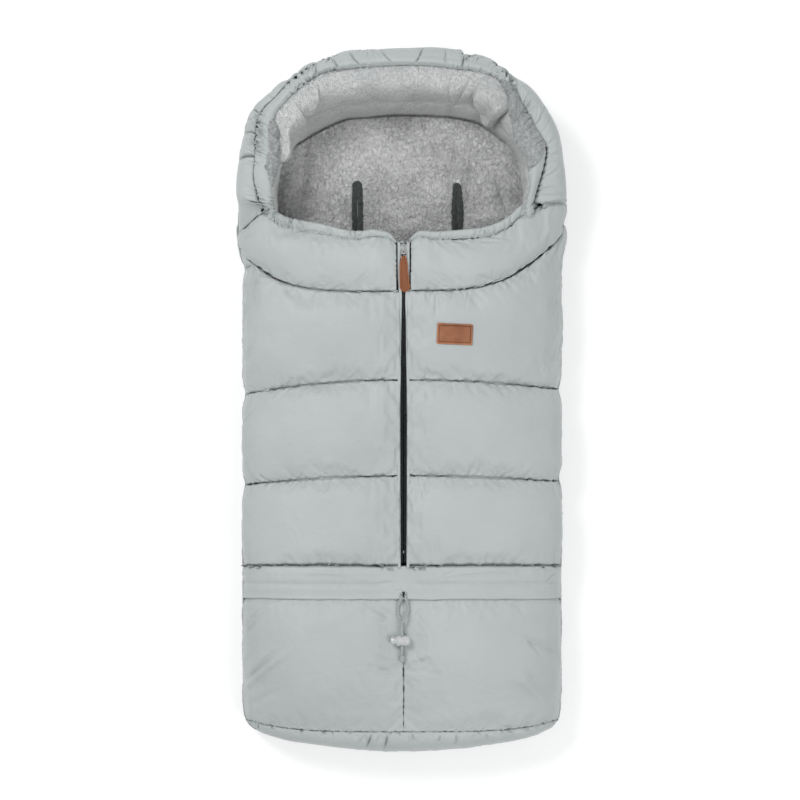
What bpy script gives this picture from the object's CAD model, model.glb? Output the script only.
"""Looks of the winter footmuff: quilted shell, gathered hood, fleece lining, zip, drawcord and label.

Metres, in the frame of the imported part: +Z up from the floor, +Y to the hood, -X is left.
"""

from math import atan, cos, pi, radians, sin, tau

import bmesh
import bpy
import numpy as np
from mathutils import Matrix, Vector
from mathutils.bvhtree import BVHTree
from mathutils.geometry import delaunay_2d_cdt


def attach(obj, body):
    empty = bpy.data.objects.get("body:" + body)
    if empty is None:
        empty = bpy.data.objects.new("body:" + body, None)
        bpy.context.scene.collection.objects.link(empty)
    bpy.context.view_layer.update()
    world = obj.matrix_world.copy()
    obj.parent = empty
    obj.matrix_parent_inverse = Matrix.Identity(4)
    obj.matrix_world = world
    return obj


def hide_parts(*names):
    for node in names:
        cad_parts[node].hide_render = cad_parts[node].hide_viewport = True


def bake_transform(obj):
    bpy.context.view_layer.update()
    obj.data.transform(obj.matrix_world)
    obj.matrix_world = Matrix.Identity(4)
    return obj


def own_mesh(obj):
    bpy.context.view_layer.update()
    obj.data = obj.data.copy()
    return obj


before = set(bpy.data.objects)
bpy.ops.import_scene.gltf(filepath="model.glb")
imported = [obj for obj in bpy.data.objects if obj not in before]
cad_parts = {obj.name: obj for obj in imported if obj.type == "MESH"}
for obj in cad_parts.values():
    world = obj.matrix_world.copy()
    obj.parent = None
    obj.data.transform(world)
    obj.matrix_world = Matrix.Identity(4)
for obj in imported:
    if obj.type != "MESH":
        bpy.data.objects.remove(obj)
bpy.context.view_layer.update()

# The section of the front, as in the part
BODY_HALF, SEAM_Z, CREST_Z, CROWN = 0.2035, 0.036, 0.110, 2.7
ZIP_X = 0.0020
FOOT_SEAM_Y = -0.4225
BAND_TOP_Y, BAND_END_Y = -0.2098, -0.2526
SEAM_A_Y, SEAM_B_Y = 0.0269, -0.0950
HOOD_Y = 0.228

# Plan of the foot end, from the middle to the side: half-width, and place along the bag
END_HALF = (0.0, 0.0280, 0.0705, 0.1205, 0.1560, 0.1830, 0.1950, 0.1993, 0.2022, 0.2035)
END_AT = (-0.4495, -0.4490, -0.4460, -0.4397, -0.4333, -0.4238, -0.4160, -0.4100, -0.3970, -0.3800)

# Photograph: seen from straight above, and true to size at the height of the side puffs
EYE_Z, TRUE_Z, PICTURE_W = 6.0, 0.060, 1.026
EYE_X, EYE_Y = -0.0026, 0.0013

# Quilting
CHANNEL_LIFT, COLLAR_LIFT, FOOT_LIFT, BAND_LIFT = 0.0080, 0.0100, 0.0066, 0.0024
SEAM_SINK = 0.0012
STRIP_IN, STRIP_OUT = 0.0037, 0.0082
GROOVE, GROOVE_DEEP = 0.0007, 0.0042
STITCH = 0.0034
PRESSURE = 0.4
SHELL_T, RIM_T, FLEECE_T = 0.0012, 0.0010, 0.0026

# Where the collar meets the hood, by side: its corner, how deep the seams are pressed, and the joint
CORNER_X = {-1: 0.1735, 1: 0.1700}
JOINT_PRESS = {-1: 2.4, 1: 0.25}
CASING_PRESS = {-1: 0.8, 1: 1.9}
JOINT_DEEP, JOINT_WIDE = {-1: 0.0110, 1: 0.0010}, 0.0017

# Cord lock, knot and label, with places repeated from the part
CORD_D, CORD_GAP, EXIT_Y = 0.0034, 0.0003, -0.2470
LOCK_X, LOCK_Y, LOCK_R = 0.0, -0.3045, 0.0068
LOCK_Z = CREST_Z + LOCK_R + 0.0008
LOW_Z, HIGH_Z = LOCK_Z - CORD_D / 2 - CORD_GAP, LOCK_Z + CORD_D / 2 + CORD_GAP
KNOT_Y, KNOT_LEN = -0.3275, 0.0090
KNOT_Z = CREST_Z + 0.0042 + 0.0012
LABEL_X, LABEL_Y = 0.0670, 0.0850


def mix(a, b, t):
    return a + (b - a) * t


def smooth(low, high, value):
    t = np.clip((np.asarray(value, float) - low) / (high - low), 0.0, 1.0)
    return t * t * (3 - 2 * t)


def bell(distance, width):
    """1 on a line, dying out smoothly over its width."""
    return np.exp(-((distance / width) ** 2))


def curve(x, xs, ys):
    """A smooth curve through the points, level past both ends."""
    xs, ys = np.asarray(xs, float), np.asarray(ys, float)
    slope = np.gradient(ys, xs)
    x = np.clip(x, xs[0], xs[-1])
    k = np.clip(np.searchsorted(xs, x) - 1, 0, len(xs) - 2)
    h = xs[k + 1] - xs[k]
    t = (x - xs[k]) / h
    return ((2 * t**3 - 3 * t**2 + 1) * ys[k] + (t**3 - 2 * t**2 + t) * h * slope[k]
            + (3 * t**2 - 2 * t**3) * ys[k + 1] + (t**3 - t**2) * h * slope[k + 1])


def noise(x, y, seed=0):
    """Smooth noise from -1 to 1, the same on every run."""
    x, y = np.broadcast_arrays(np.asarray(x, float), np.asarray(y, float))
    ix, iy = np.floor(x).astype(np.int64), np.floor(y).astype(np.int64)
    fx, fy = x - ix, y - iy

    def corner(i, j):
        h = ((ix + i) * 374761393 + (iy + j) * 668265263 + seed * 974634777) & 0xFFFFFFFF
        h = ((h ^ (h >> 13)) * 1274126177) & 0xFFFFFFFF
        angle = (h ^ (h >> 16)) / 2**32 * tau
        return np.cos(angle) * (fx - i) + np.sin(angle) * (fy - j)

    u, v = fx**3 * (fx * (6 * fx - 15) + 10), fy**3 * (fy * (6 * fy - 15) + 10)
    return 1.41 * mix(mix(corner(0, 0), corner(1, 0), u), mix(corner(0, 1), corner(1, 1), u), v)


def ridges(x, y, seed=0):
    """Noise with sharp crests, as in creased cloth."""
    return 1.0 - 2.6 * np.abs(noise(x, y, seed))


def puckers(along, away, seed, pitch, reach, height):
    """Small folds that start at a seam and die out away from it."""
    lean = 0.7 * noise(along / (5 * pitch), 0.5, seed + 3)
    weight = 0.35 + 0.65 * smooth(-0.3, 0.5, noise(along / (6 * pitch), 0.5, seed + 5))
    fold = ridges((along + lean * away) / pitch, away / (5 * reach), seed)
    return height * fold * weight * np.exp(-(away / reach) ** 1.3)


def gathers(along, across, seed, pitch):
    """Rounded folds with sharp valleys between them, about level on the whole."""
    place = along / pitch + 0.8 * noise(along / (2.2 * pitch), 0.4, seed + 1)
    return np.minimum(3.0 * np.abs(noise(place, across, seed)), 1.0) - 0.66


def creases(along, away, seed, count, span, length, depth, width=0.0013, lean=0.45):
    """Separate sharp creases that run from a seam into the cloth, each with a soft ridge on either side."""
    draw = np.random.default_rng(seed)
    total = np.zeros(np.broadcast(along, away).shape)
    for place in draw.uniform(span[0], span[1], count):
        slope, bend = draw.normal(0, lean), draw.normal(0, 12)
        reach = length * draw.uniform(0.25, 1.0) ** 1.3
        deep = depth * draw.uniform(0.3, 1.0)
        wide = width * draw.uniform(0.75, 1.5) * (1 + 0.9 * away / reach)
        u = (along - place - slope * away - bend * away**2) / wide
        fade = bell(away, reach)
        total += deep * fade * (0.5 * bell(np.abs(u) - 2.0, 1.0) - np.exp(-(u**2)))
    return total


# Tenths of a millimetre in a metre
TENTHS = 10000


def wrinkles(x, y, table):
    """Single creases, each a sharp valley between two soft ridges, or the reverse."""
    total = np.zeros(np.broadcast(x, y).shape)
    for x0, y0, x1, y1, depth, wide in np.array(table) / TENTHS:
        run = np.hypot(x1 - x0, y1 - y0)
        ux, uy = (x1 - x0) / run, (y1 - y0) / run
        along = ((x - x0) * ux + (y - y0) * uy) / run
        off = ((y - y0) * ux - (x - x0) * uy + 0.10 * run * (along**2 - along)) / wide
        fade = smooth(-0.12, 0.12, along) * smooth(1.2, 0.6, along)
        total += depth * fade * (0.5 * np.exp(-((np.abs(off) - 2.0) ** 2)) - np.exp(-(off**2)))
    return total


# Meshes


def grid_object(name, points, ring=False, flip=False, thickness=0.0):
    """A cloth surface from rows of points; ring joins the last column to the first."""
    rows, cols = points.shape[:2]
    mesh = bpy.data.meshes.new(name)
    index = np.arange(rows * cols).reshape(rows, cols)
    after = np.roll(index, -1, axis=1) if ring else index[:, 1:]
    first = index if ring else index[:, :-1]
    quads = np.stack([first[:-1], after[:-1], after[1:], first[1:]], axis=-1).reshape(-1, 4)
    if flip:
        quads = quads[:, ::-1]
    mesh.from_pydata(points.reshape(-1, 3).tolist(), [], quads.tolist())
    mesh.shade_smooth()
    made = placed(name, mesh)
    if thickness:
        thicken(made, thickness)
    return made


def placed(name, data):
    """A new object in the scene."""
    made = bpy.data.objects.new(name, data)
    bpy.context.scene.collection.objects.link(made)
    return made


def thicken(made, thickness):
    """Gives a cloth surface its thickness, on the inner side."""
    wall = made.modifiers.new("cloth", "SOLIDIFY")
    wall.thickness, wall.offset = thickness, -1


def reworked(made, change):
    """Changes an object's mesh with a function of its bmesh."""
    work = bmesh.new()
    work.from_mesh(made.data)
    work.verts.ensure_lookup_table()
    change(work)
    work.to_mesh(made.data)
    work.free()


def without_faces(made, gone):
    """Cuts away the faces whose middle a test picks."""
    def change(work):
        faces = [face for face in work.faces if gone(face.calc_center_median())]
        bmesh.ops.delete(work, geom=faces, context="FACES")

    reworked(made, change)


def cap_ends(made, rows, count, used):
    """Closes both ends of a swept section, and joins its seam."""
    def change(work):
        for first in (0, (rows - 1) * count):
            work.faces.new([work.verts[first + n] for n in range(used)])
        bmesh.ops.remove_doubles(work, verts=work.verts, dist=1e-7)
        bmesh.ops.recalc_face_normals(work, faces=work.faces)

    reworked(made, change)


def front_blend(word):
    """A front half's cloth: held by the bag at the band, and carried by its flap further up."""
    return "bag", f"{word}_flap", (0, -0.180, 0), (0, -0.050, 0)


def collar_blend(word):
    """A collar's cloth: held by the bag at the hood, and carried by its flap further down."""
    return "bag", f"{word}_flap", (0, 0.240, 0), (0, 0.190, 0)


def finish_piece(piece, body, material, replaced=()):
    piece.data.materials.clear()
    piece.data.materials.append(material)
    if isinstance(body, str):
        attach(piece, body)
    else:
        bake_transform(piece)
    if replaced:
        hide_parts(*replaced)
    return piece


def even_columns(count, near_zip):
    """Values of s from the side seam to near_zip, evenly spaced over the crown."""
    turn = np.linspace(0, pi / 2, 2000)
    s, t = np.cos(turn) ** (2 / CROWN), np.sin(turn) ** (2 / CROWN)
    steps = np.hypot(np.diff(s) * BODY_HALF, np.diff(t) * (CREST_Z - SEAM_Z))
    reach = np.concatenate([[0], np.cumsum(steps)])
    last = np.interp(-near_zip, -s, reach)
    return np.interp(np.linspace(0, last, count), reach, s), np.linspace(0, last, count)


def seam_notch(y, seams):
    """How far the outline draws in where a quilting seam meets the side."""
    return sum(bell(y - at, 0.011) for at in seams)


SIDE_SEAMS = {
    -1: (SEAM_A_Y - 0.018, SEAM_B_Y - 0.013, 0.1697),
    1: (SEAM_A_Y - 0.012, SEAM_B_Y - 0.005, 0.2290),
}


def half_width(side, y):
    """Half-width of the outline at the side seam, with its flare to the hood and its notches."""
    flare = 0.0075 * smooth(0.165, 0.220, y)
    return curve(y, END_AT, END_HALF) + flare - 0.0032 * seam_notch(y, SIDE_SEAMS[side])


def crest(y):
    return CREST_Z - 0.020 * smooth(-0.32, -0.44, y)


def front(side, s, y, lift):
    """Points over the front's section: s is 1 at the side seam and 0 over the zip."""
    s, y, lift = np.broadcast_arrays(s, y, lift)
    half, rise = half_width(side, y), crest(y) - SEAM_Z
    t = np.clip(1 - s**CROWN, 0, 1) ** (1 / CROWN)
    nx, nz = s ** (CROWN - 1) / half, t ** (CROWN - 1) / rise
    size = np.hypot(nx, nz)
    x = side * (half * s + nx / size * lift) + ZIP_X * (1 - s)
    return np.stack([x, y, SEAM_Z + rise * t + nz / size * lift], axis=-1)


def arc_y(side, s):
    """The collar's seam, which runs further up the right side."""
    if side < 0:
        return 0.1395 + 0.0464 * s**4.6 + 0.010 * s**40
    return 0.1405 + 0.078 * s**3.6 + 0.008 * s**20


def opening_y(side, s):
    """Lower edge of the gathered casing, then the seam between the collar and the hood."""
    x = s * BODY_HALF
    if side < 0:
        return curve(x, (0, 0.009, 0.014, 0.030, 0.058, 0.105, 0.150, 0.172, 0.190, 0.2035),
                     (0.196, 0.199, 0.2045, 0.2095, 0.2070, 0.2155, 0.2245, 0.2390, 0.2250, 0.2140))
    return curve(x, (0, 0.009, 0.014, 0.040, 0.075, 0.110, 0.130, 0.150, 0.170, 0.190, 0.2035),
                 (0.200, 0.203, 0.2070, 0.2070, 0.2085, 0.2130, 0.2215, 0.2375, 0.2475, 0.2520, 0.2500))


def by_zip(s):
    """The padding starts a little way from the zip's folded edge."""
    return smooth(STRIP_OUT, 0.034, s * BODY_HALF) ** 0.6


def puff(t, power=0.42):
    return np.sin(pi * np.clip(t, 0, 1)) ** power


def channel_rows(count):
    """Rows across a channel, closer together at its two seams."""
    return (1 - np.cos(pi * np.arange(count + 1) / count)) / 2


def oriented(made, inside, outward=1):
    """Turns the faces away from a point inside the object, or towards it."""
    mesh = made.data
    count = len(mesh.polygons)
    centres, normals = np.empty(count * 3), np.empty(count * 3)
    mesh.polygons.foreach_get("center", centres)
    mesh.polygons.foreach_get("normal", normals)
    away = (centres.reshape(-1, 3) - np.array(inside)) * normals.reshape(-1, 3)
    if away.sum() * outward < 0:
        mesh.flip_normals()
    return made


def finer(values, factor, axis):
    """More points along an axis of a grid, on smooth curves through the old ones."""
    values = np.moveaxis(values, axis, 0)
    count = len(values)
    place = np.linspace(0, count - 1, (count - 1) * factor + 1)
    k = np.minimum(place.astype(int), count - 2)
    t = (place - k).reshape(-1, *([1] * (values.ndim - 1)))
    before, after = np.maximum(k - 1, 0), np.minimum(k + 2, count - 1)
    p0, p1, p2, p3 = values[before], values[k], values[k + 1], values[after]
    p0 = np.where((k == 0).reshape(t.shape), 2 * p1 - p2, p0)
    p3 = np.where((k == count - 2).reshape(t.shape), 2 * p2 - p1, p3)
    out = 0.5 * (2 * p1 + (p2 - p0) * t + (2 * p0 - 5 * p1 + 4 * p2 - p3) * t**2
                 + (3 * p1 - p0 - 3 * p2 + p3) * t**3)
    return np.moveaxis(out, 0, axis)


def grid_normals(points, ring=False):
    along = np.gradient(points, axis=1)
    if ring:
        along = (np.roll(points, -1, axis=1) - np.roll(points, 1, axis=1)) / 2
    across = np.gradient(points, axis=0)
    normal = np.cross(along, across)
    return normal / np.maximum(np.linalg.norm(normal, axis=-1, keepdims=True), 1e-9)


def inflate(points, pins, pressure, grow, cap, frames=18):
    """Cloth pinned along its seams, slightly too large for its place and blown up by its wadding."""
    cloth = grid_object("cloth_try", points)
    group = cloth.vertex_groups.new(name="pins")
    for index, weight in enumerate(pins.reshape(-1).tolist()):
        if weight > 0:
            group.add([index], weight, "REPLACE")
    modifier = cloth.modifiers.new("cloth", "CLOTH")
    settings = modifier.settings
    settings.quality = 6
    settings.mass = 0.12
    settings.tension_stiffness = settings.compression_stiffness = 18
    settings.shear_stiffness = 4
    settings.bending_stiffness = 0.03
    settings.vertex_group_mass = "pins"
    settings.pin_stiffness = 8
    settings.shrink_min = -grow
    settings.use_pressure = True
    settings.uniform_pressure_force = pressure
    settings.effector_weights.gravity = 0
    modifier.collision_settings.use_collision = False
    modifier.point_cache.frame_end = frames
    scene = bpy.context.scene
    for frame_number in range(1, frames + 1):
        scene.frame_set(frame_number)
    done = cloth.evaluated_get(bpy.context.evaluated_depsgraph_get())
    moved = np.empty(points.size)
    done.data.vertices.foreach_get("co", moved)
    scene.frame_set(1)
    mesh = cloth.data
    bpy.data.objects.remove(cloth, do_unlink=True)
    bpy.data.meshes.remove(mesh)
    step = moved.reshape(points.shape) - points
    far = np.linalg.norm(step, axis=-1, keepdims=True)
    return points + step * np.minimum(1.0, cap / np.maximum(far, 1e-9))


def blown_up(side, points, s, t, grow, cap, held=None):
    """A panel sewn along its edges and filled: finer points, and the s and t of its columns and rows."""
    pins = np.zeros(points.shape[:2])
    pins[0] = pins[-1] = pins[:, 0] = pins[:, -1] = 1.0
    if held is not None:
        pins[held] = 1.0
    points = inflate(points, pins, PRESSURE * -side, grow, cap)
    points = finer(finer(points, 2, 0), 3, 1)
    columns = np.interp(np.linspace(0, 1, points.shape[1]), np.linspace(0, 1, len(s)), s)
    rows = np.interp(np.linspace(0, 1, points.shape[0]), np.linspace(0, 1, len(t)), t[:, 0])
    return points, columns, rows[:, None]


def pressed(points, depth, side):
    """Presses a sewn line into the front without moving it along the bag."""
    inward = grid_normals(points) * -side
    inward[..., 1] = 0
    inward /= np.maximum(np.linalg.norm(inward, axis=-1, keepdims=True), 1e-9)
    return points - depth[..., None] * inward


def crumple(points, seed, fine=0.0006, soft=0.0012, ring=False):
    """Small creases and slow waves of a thin cloth, along its own normals."""
    x, y, z = points[..., 0], points[..., 1], points[..., 2]
    a, b = x + 0.6 * z, y + 0.4 * z
    wave = soft * noise(a / 0.060, b / 0.045, seed) + 0.5 * soft * noise(a / 0.028, b / 0.033, seed + 1)
    gate = smooth(0.0, 0.6, noise(a / 0.050, b / 0.050, seed + 2))
    crease = fine * gate * ridges((a + 0.5 * b) / 0.019, (b - 0.3 * a) / 0.030, seed + 3)
    return points + (wave + crease)[..., None] * grid_normals(points, ring)


# Materials


class Finish:
    """One node material. Texture sizes are in metres, in the object's own space."""

    def __init__(self, name, **sockets):
        self.made = bpy.data.materials.new(name)
        self.made.use_nodes = True
        self.tree = self.made.node_tree
        self.shader = self.tree.nodes["Principled BSDF"]
        for socket, value in sockets.items():
            self.shader.inputs[socket.replace("_", " ")].default_value = value
        self.place = self.add("ShaderNodeTexCoord").outputs["Object"]

    def add(self, kind, **settings):
        node = self.tree.nodes.new(kind)
        for key, value in settings.items():
            setattr(node, key, value)
        return node

    def link(self, source, target):
        self.tree.links.new(source, target)

    def scaled(self, node, size, stretch):
        mapping = self.add("ShaderNodeMapping")
        mapping.inputs["Scale"].default_value = [k / size for k in stretch]
        self.link(self.place, mapping.inputs["Vector"])
        self.link(mapping.outputs["Vector"], node.inputs["Vector"])
        return node

    def noise(self, size, detail=3.0, stretch=(1, 1, 1), roughness=0.5, curl=0.0):
        node = self.add("ShaderNodeTexNoise")
        node.inputs["Scale"].default_value = 1.0
        node.inputs["Distortion"].default_value = curl
        node.inputs["Detail"].default_value = detail
        node.inputs["Roughness"].default_value = roughness
        return self.scaled(node, size, stretch).outputs["Fac"]

    def wave(self, pitch, direction, distortion=0.0, kind="SIN"):
        node = self.add("ShaderNodeTexWave", bands_direction=direction, wave_profile=kind)
        node.inputs["Scale"].default_value = 0.314 / pitch
        node.inputs["Distortion"].default_value = distortion
        self.link(self.place, node.inputs["Vector"])
        return node.outputs["Fac"]

    def cells(self, size, stretch=(1, 1, 1)):
        node = self.add("ShaderNodeTexVoronoi")
        node.inputs["Scale"].default_value = 1.0
        return self.scaled(node, size, stretch).outputs["Distance"]

    def math(self, operation, a, b):
        node = self.add("ShaderNodeMath", operation=operation)
        for socket, value in zip(node.inputs, (a, b)):
            if isinstance(value, (int, float)):
                socket.default_value = value
            else:
                self.link(value, socket)
        return node.outputs[0]

    def blend(self, a, share_a, b, share_b):
        return self.math("ADD", self.math("MULTIPLY", a, share_a), self.math("MULTIPLY", b, share_b))

    def ramp(self, value, low, high, start, end):
        """Colour from low to high as the value goes from start to end."""
        node = self.add("ShaderNodeValToRGB")
        first, last = node.color_ramp.elements
        first.position, last.position = start, end
        first.color, last.color = (*low, 1), (*high, 1)
        self.link(value, node.inputs["Fac"])
        return node.outputs["Color"]

    def spread(self, value, low, high):
        node = self.add("ShaderNodeMapRange")
        node.inputs["To Min"].default_value, node.inputs["To Max"].default_value = low, high
        self.link(value, node.inputs["Value"])
        return node.outputs["Result"]

    def colour(self, value):
        self.link(value, self.shader.inputs["Base Color"])

    def bump(self, *layers):
        """Layers of (height, distance in metres), one on top of the other."""
        under = None
        for height, distance in layers:
            node = self.add("ShaderNodeBump")
            node.inputs["Distance"].default_value = distance
            self.link(height, node.inputs["Height"])
            if under is not None:
                self.link(under, node.inputs["Normal"])
            under = node.outputs["Normal"]
        self.link(under, self.shader.inputs["Normal"])
        return self.made


def shell_cloth():
    """Grey satin-faced polyester: fine plain weave, faint creases and a soft sheen."""
    cloth = Finish("shell_cloth", Roughness=0.5, Sheen_Weight=0.18, Sheen_Roughness=0.4,
                   Specular_IOR_Level=0.4)
    tone = cloth.noise(0.11, 4.0)
    cloth.colour(cloth.ramp(tone, (0.490, 0.532, 0.530), (0.545, 0.588, 0.585), 0.30, 0.72))
    cloth.link(cloth.spread(cloth.noise(0.030, 3.0), 0.40, 0.58), cloth.shader.inputs["Roughness"])
    weave = cloth.math("MULTIPLY", cloth.wave(0.0007, "X"), cloth.wave(0.0007, "Y"))
    rumple = cloth.noise(0.022, 5.0, (1, 1.6, 1), 0.62)
    return cloth.bump((rumple, 0.0012), (cloth.noise(0.006, 3.0), 0.00025), (weave, 0.00004))


def fleece(name, low, high, curl):
    """Short coral fleece: curled, clumped pile over soft mottling."""
    pile = Finish(name, Roughness=0.95, Sheen_Weight=0.45, Sheen_Roughness=0.6, Specular_IOR_Level=0.15)
    clumps = pile.noise(0.0040, 4.0, (1, 0.8, 1), 0.62, curl)
    shade = pile.blend(clumps, 0.66, pile.noise(0.05, 2.0), 0.34)
    pile.colour(pile.ramp(shade, low, high, 0.36, 0.64))
    return pile.bump((pile.noise(0.011, 3.0), 0.0030), (clumps, 0.0055), (pile.noise(0.0014, 2.0), 0.0008))


WEAR = "wear"


def leather(name, low, high):
    """Tan leather with pores and darker patches, a paler cut edge and a darker pressed line."""
    hide = Finish(name, Roughness=0.55, Specular_IOR_Level=0.4)
    grain = hide.cells(0.0011)
    patch = hide.noise(0.020, 2.0)
    shade = hide.blend(patch, 0.75, grain, 0.3)
    skin = hide.ramp(shade, low, high, 0.30, 0.72)
    wear = hide.add("ShaderNodeAttribute", attribute_name=WEAR).outputs["Fac"]
    tint = hide.add("ShaderNodeMapRange")
    tint.inputs["From Min"].default_value, tint.inputs["From Max"].default_value = -1.0, 1.0
    tint.inputs["To Min"].default_value, tint.inputs["To Max"].default_value = 0.10, 1.90
    hide.link(wear, tint.inputs["Value"])
    worn = hide.add("ShaderNodeVectorMath", operation="SCALE")
    hide.link(skin, worn.inputs[0])
    hide.link(tint.outputs["Result"], worn.inputs["Scale"])
    hide.colour(worn.outputs["Vector"])
    hide.link(hide.spread(patch, 0.48, 0.66), hide.shader.inputs["Roughness"])
    return hide.bump((grain, 0.00022), (hide.noise(0.0005, 2.0), 0.00008))


def woven(name, low, high, pitch, roughness=0.85):
    """Narrow woven tape: ribs across it and a finer thread along it."""
    tape = Finish(name, Roughness=roughness, Sheen_Weight=0.06, Sheen_Roughness=0.5, Specular_IOR_Level=0.25)
    ribs = tape.wave(pitch, "Y", 0.4)
    threads = tape.math("MULTIPLY", ribs, tape.wave(pitch * 0.7, "X", 0.4))
    shade = tape.blend(threads, 0.5, tape.noise(0.004), 0.6)
    tape.colour(tape.ramp(shade, low, high, 0.2, 0.8))
    return tape.bump((threads, 0.00022))


def metal():
    """Die-cast zinc with a nickel finish, slightly rubbed."""
    zinc = Finish("nickel", Metallic=1.0, Roughness=0.22)
    rub = zinc.noise(0.0030, 4.0)
    zinc.colour(zinc.ramp(rub, (0.56, 0.58, 0.59), (0.86, 0.88, 0.88), 0.35, 0.65))
    zinc.link(zinc.spread(rub, 0.14, 0.34), zinc.shader.inputs["Roughness"])
    return zinc.bump((zinc.noise(0.0008, 2.0), 0.00002))


def clear_plastic():
    """Frosted clear plastic, faintly cloudy, with a moulded skin."""
    shell = Finish("frosted_plastic", Roughness=0.22, IOR=1.46, Transmission_Weight=0.25, Coat_Weight=0.3)
    cloud = shell.noise(0.004, 3.0)
    shell.colour(shell.ramp(cloud, (0.70, 0.73, 0.73), (0.86, 0.88, 0.88), 0.3, 0.7))
    shell.link(shell.spread(cloud, 0.16, 0.34), shell.shader.inputs["Roughness"])
    return shell.bump((shell.noise(0.0012, 2.0), 0.00003))


def braid():
    """Braided polyester cord: crossing strands as a diamond relief."""
    cord = Finish("braided_cord", Roughness=0.75, Sheen_Weight=0.3, Sheen_Roughness=0.5)
    strands = cord.math("MULTIPLY", cord.wave(0.0016, "DIAGONAL", 1.0), cord.wave(0.0013, "Y", 1.4))
    shade = cord.blend(strands, 0.6, cord.noise(0.003), 0.5)
    cord.colour(cord.ramp(shade, (0.34, 0.38, 0.38), (0.62, 0.66, 0.66), 0.2, 0.8))
    return cord.bump((strands, 0.0004))


def fuzzy(name, low, high):
    """Fraying binding tape with a soft nap."""
    nap = Finish(name, Roughness=0.95, Sheen_Weight=0.5, Sheen_Roughness=0.5)
    hairs = nap.noise(0.0016, 4.0, (1, 0.4, 1), 0.7)
    nap.colour(nap.ramp(hairs, low, high, 0.32, 0.70))
    return nap.bump((hairs, 0.0009))


SHELL = shell_cloth()
FLOOR_FLEECE = fleece("fleece_floor", (0.380, 0.384, 0.382), (0.900, 0.905, 0.900), 0.8)
WALL_FLEECE = fleece("fleece_wall", (0.720, 0.752, 0.754), (0.985, 0.988, 0.988), 1.8)
FACING_FLEECE = fleece("fleece_facing", (0.370, 0.400, 0.400), (0.600, 0.630, 0.630), 1.0)
LABEL_TAN = leather("label_leather", (0.270, 0.095, 0.040), (0.400, 0.165, 0.080))
TAB_TAN = leather("tab_leather", (0.215, 0.070, 0.024), (0.310, 0.110, 0.044))
ZIP_TAPE = woven("zip_tape_black", (0.006, 0.009, 0.009), (0.030, 0.038, 0.038), 0.0009)
ELASTIC = woven("white_elastic", (0.55, 0.55, 0.54), (0.78, 0.78, 0.77), 0.0012)
NICKEL = metal()
FROSTED = clear_plastic()
CORD = braid()
BINDING = fuzzy("charcoal_binding", (0.010, 0.014, 0.013), (0.095, 0.110, 0.105))


# Front shells: three quilted channels a side


def seam_y(side, s, which):
    """The two quilting seams; each runs a little differently on its side."""
    if which == "a":
        return SEAM_A_Y - (0.0178 if side < 0 else 0.0115) * s * s
    return SEAM_B_Y - (0.0125 if side < 0 else 0.0080) * s * s


COLS = 56

# Creases by channel from the foot up, then by side:
# the seam, first and last share of the way in, how many, length and depth
SEAM_CREASES = (
    ((("low", 0.0, 1.0, 34, 0.008, 0.0011), ("high", 0.2, 1.0, 20, 0.014, 0.0010)),
     (("low", 0.0, 1.0, 34, 0.008, 0.0011), ("high", 0.1, 0.95, 18, 0.014, 0.0010))),
    ((("low", 0.1, 1.0, 24, 0.016, 0.0012), ("high", 0.3, 1.0, 12, 0.010, 0.0008)),
     (("low", 0.1, 1.0, 22, 0.015, 0.0011), ("high", 0.5, 1.0, 9, 0.012, 0.0009))),
    ((("low", 0.3, 1.0, 14, 0.016, 0.0010), ("high", 0.15, 1.0, 22, 0.012, 0.0010)),
     (("low", 0.3, 1.0, 9, 0.014, 0.0008), ("high", 0.1, 0.9, 34, 0.030, 0.0015))),
)
NEAR = 0.0046 / BODY_HALF

# Creases that stand out in the photograph, as x and y of both ends, depth and half-width,
# in tenths of a millimetre
PANEL_WRINKLES = (
    (-2045, 1103, -1936, 1256, -10, 11), (-2010, 580, -1865, 744, -12, 11),
    (-2013, 282, -1756, 462, -10, 12), (-2026, -256, -1859, -64, -11, 11),
    (-2013, -590, -1846, -462, -10, 12), (-2000, -1846, -1795, -1628, -8, 12),
    (-2060, 1699, -1890, 1737, 30, 9), (-2051, 1461, -1603, 1538, 12, 18), (436, 1397, 410, 1064, 10, 15),
    (650, 1440, 600, 1270, 16, 9), (860, 1480, 800, 1180, 12, 14), (1300, 1640, 1270, 1450, 18, 9),
    (1500, 1740, 1420, 1560, 12, 14), (300, 140, 310, -60, 10, 12), (2000, 1240, 1900, 1330, -8, 14),
    (330, 280, 290, 700, 6, 22), (-600, 410, -560, 600, 10, 10), (-720, 350, -740, 500, 9, 10),
    (-1450, -1020, -1300, -900, 9, 12), (1320, -1010, 1180, -850, 9, 12),
)
COLLAR_WRINKLES = (
    (1090, 2090, 1423, 2051, 14, 11), (995, 2030, 1260, 2025, 10, 12), (590, 2040, 860, 2000, 8, 12),
    (1270, 2270, 1180, 2090, 10, 16), (-2060, 2130, -1900, 2250, 14, 12),
    (-2020, 2060, -1830, 2160, 10, 12), (-1720, 2160, -1700, 1960, 8, 16),
    (-990, 2100, -1060, 1930, 8, 18), (-520, 2010, -640, 1880, 10, 14), (-330, 1540, -300, 1680, 10, 10),
    (740, 1480, 760, 1620, 8, 10), (1150, 1590, 1180, 1720, 8, 10),
)
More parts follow.
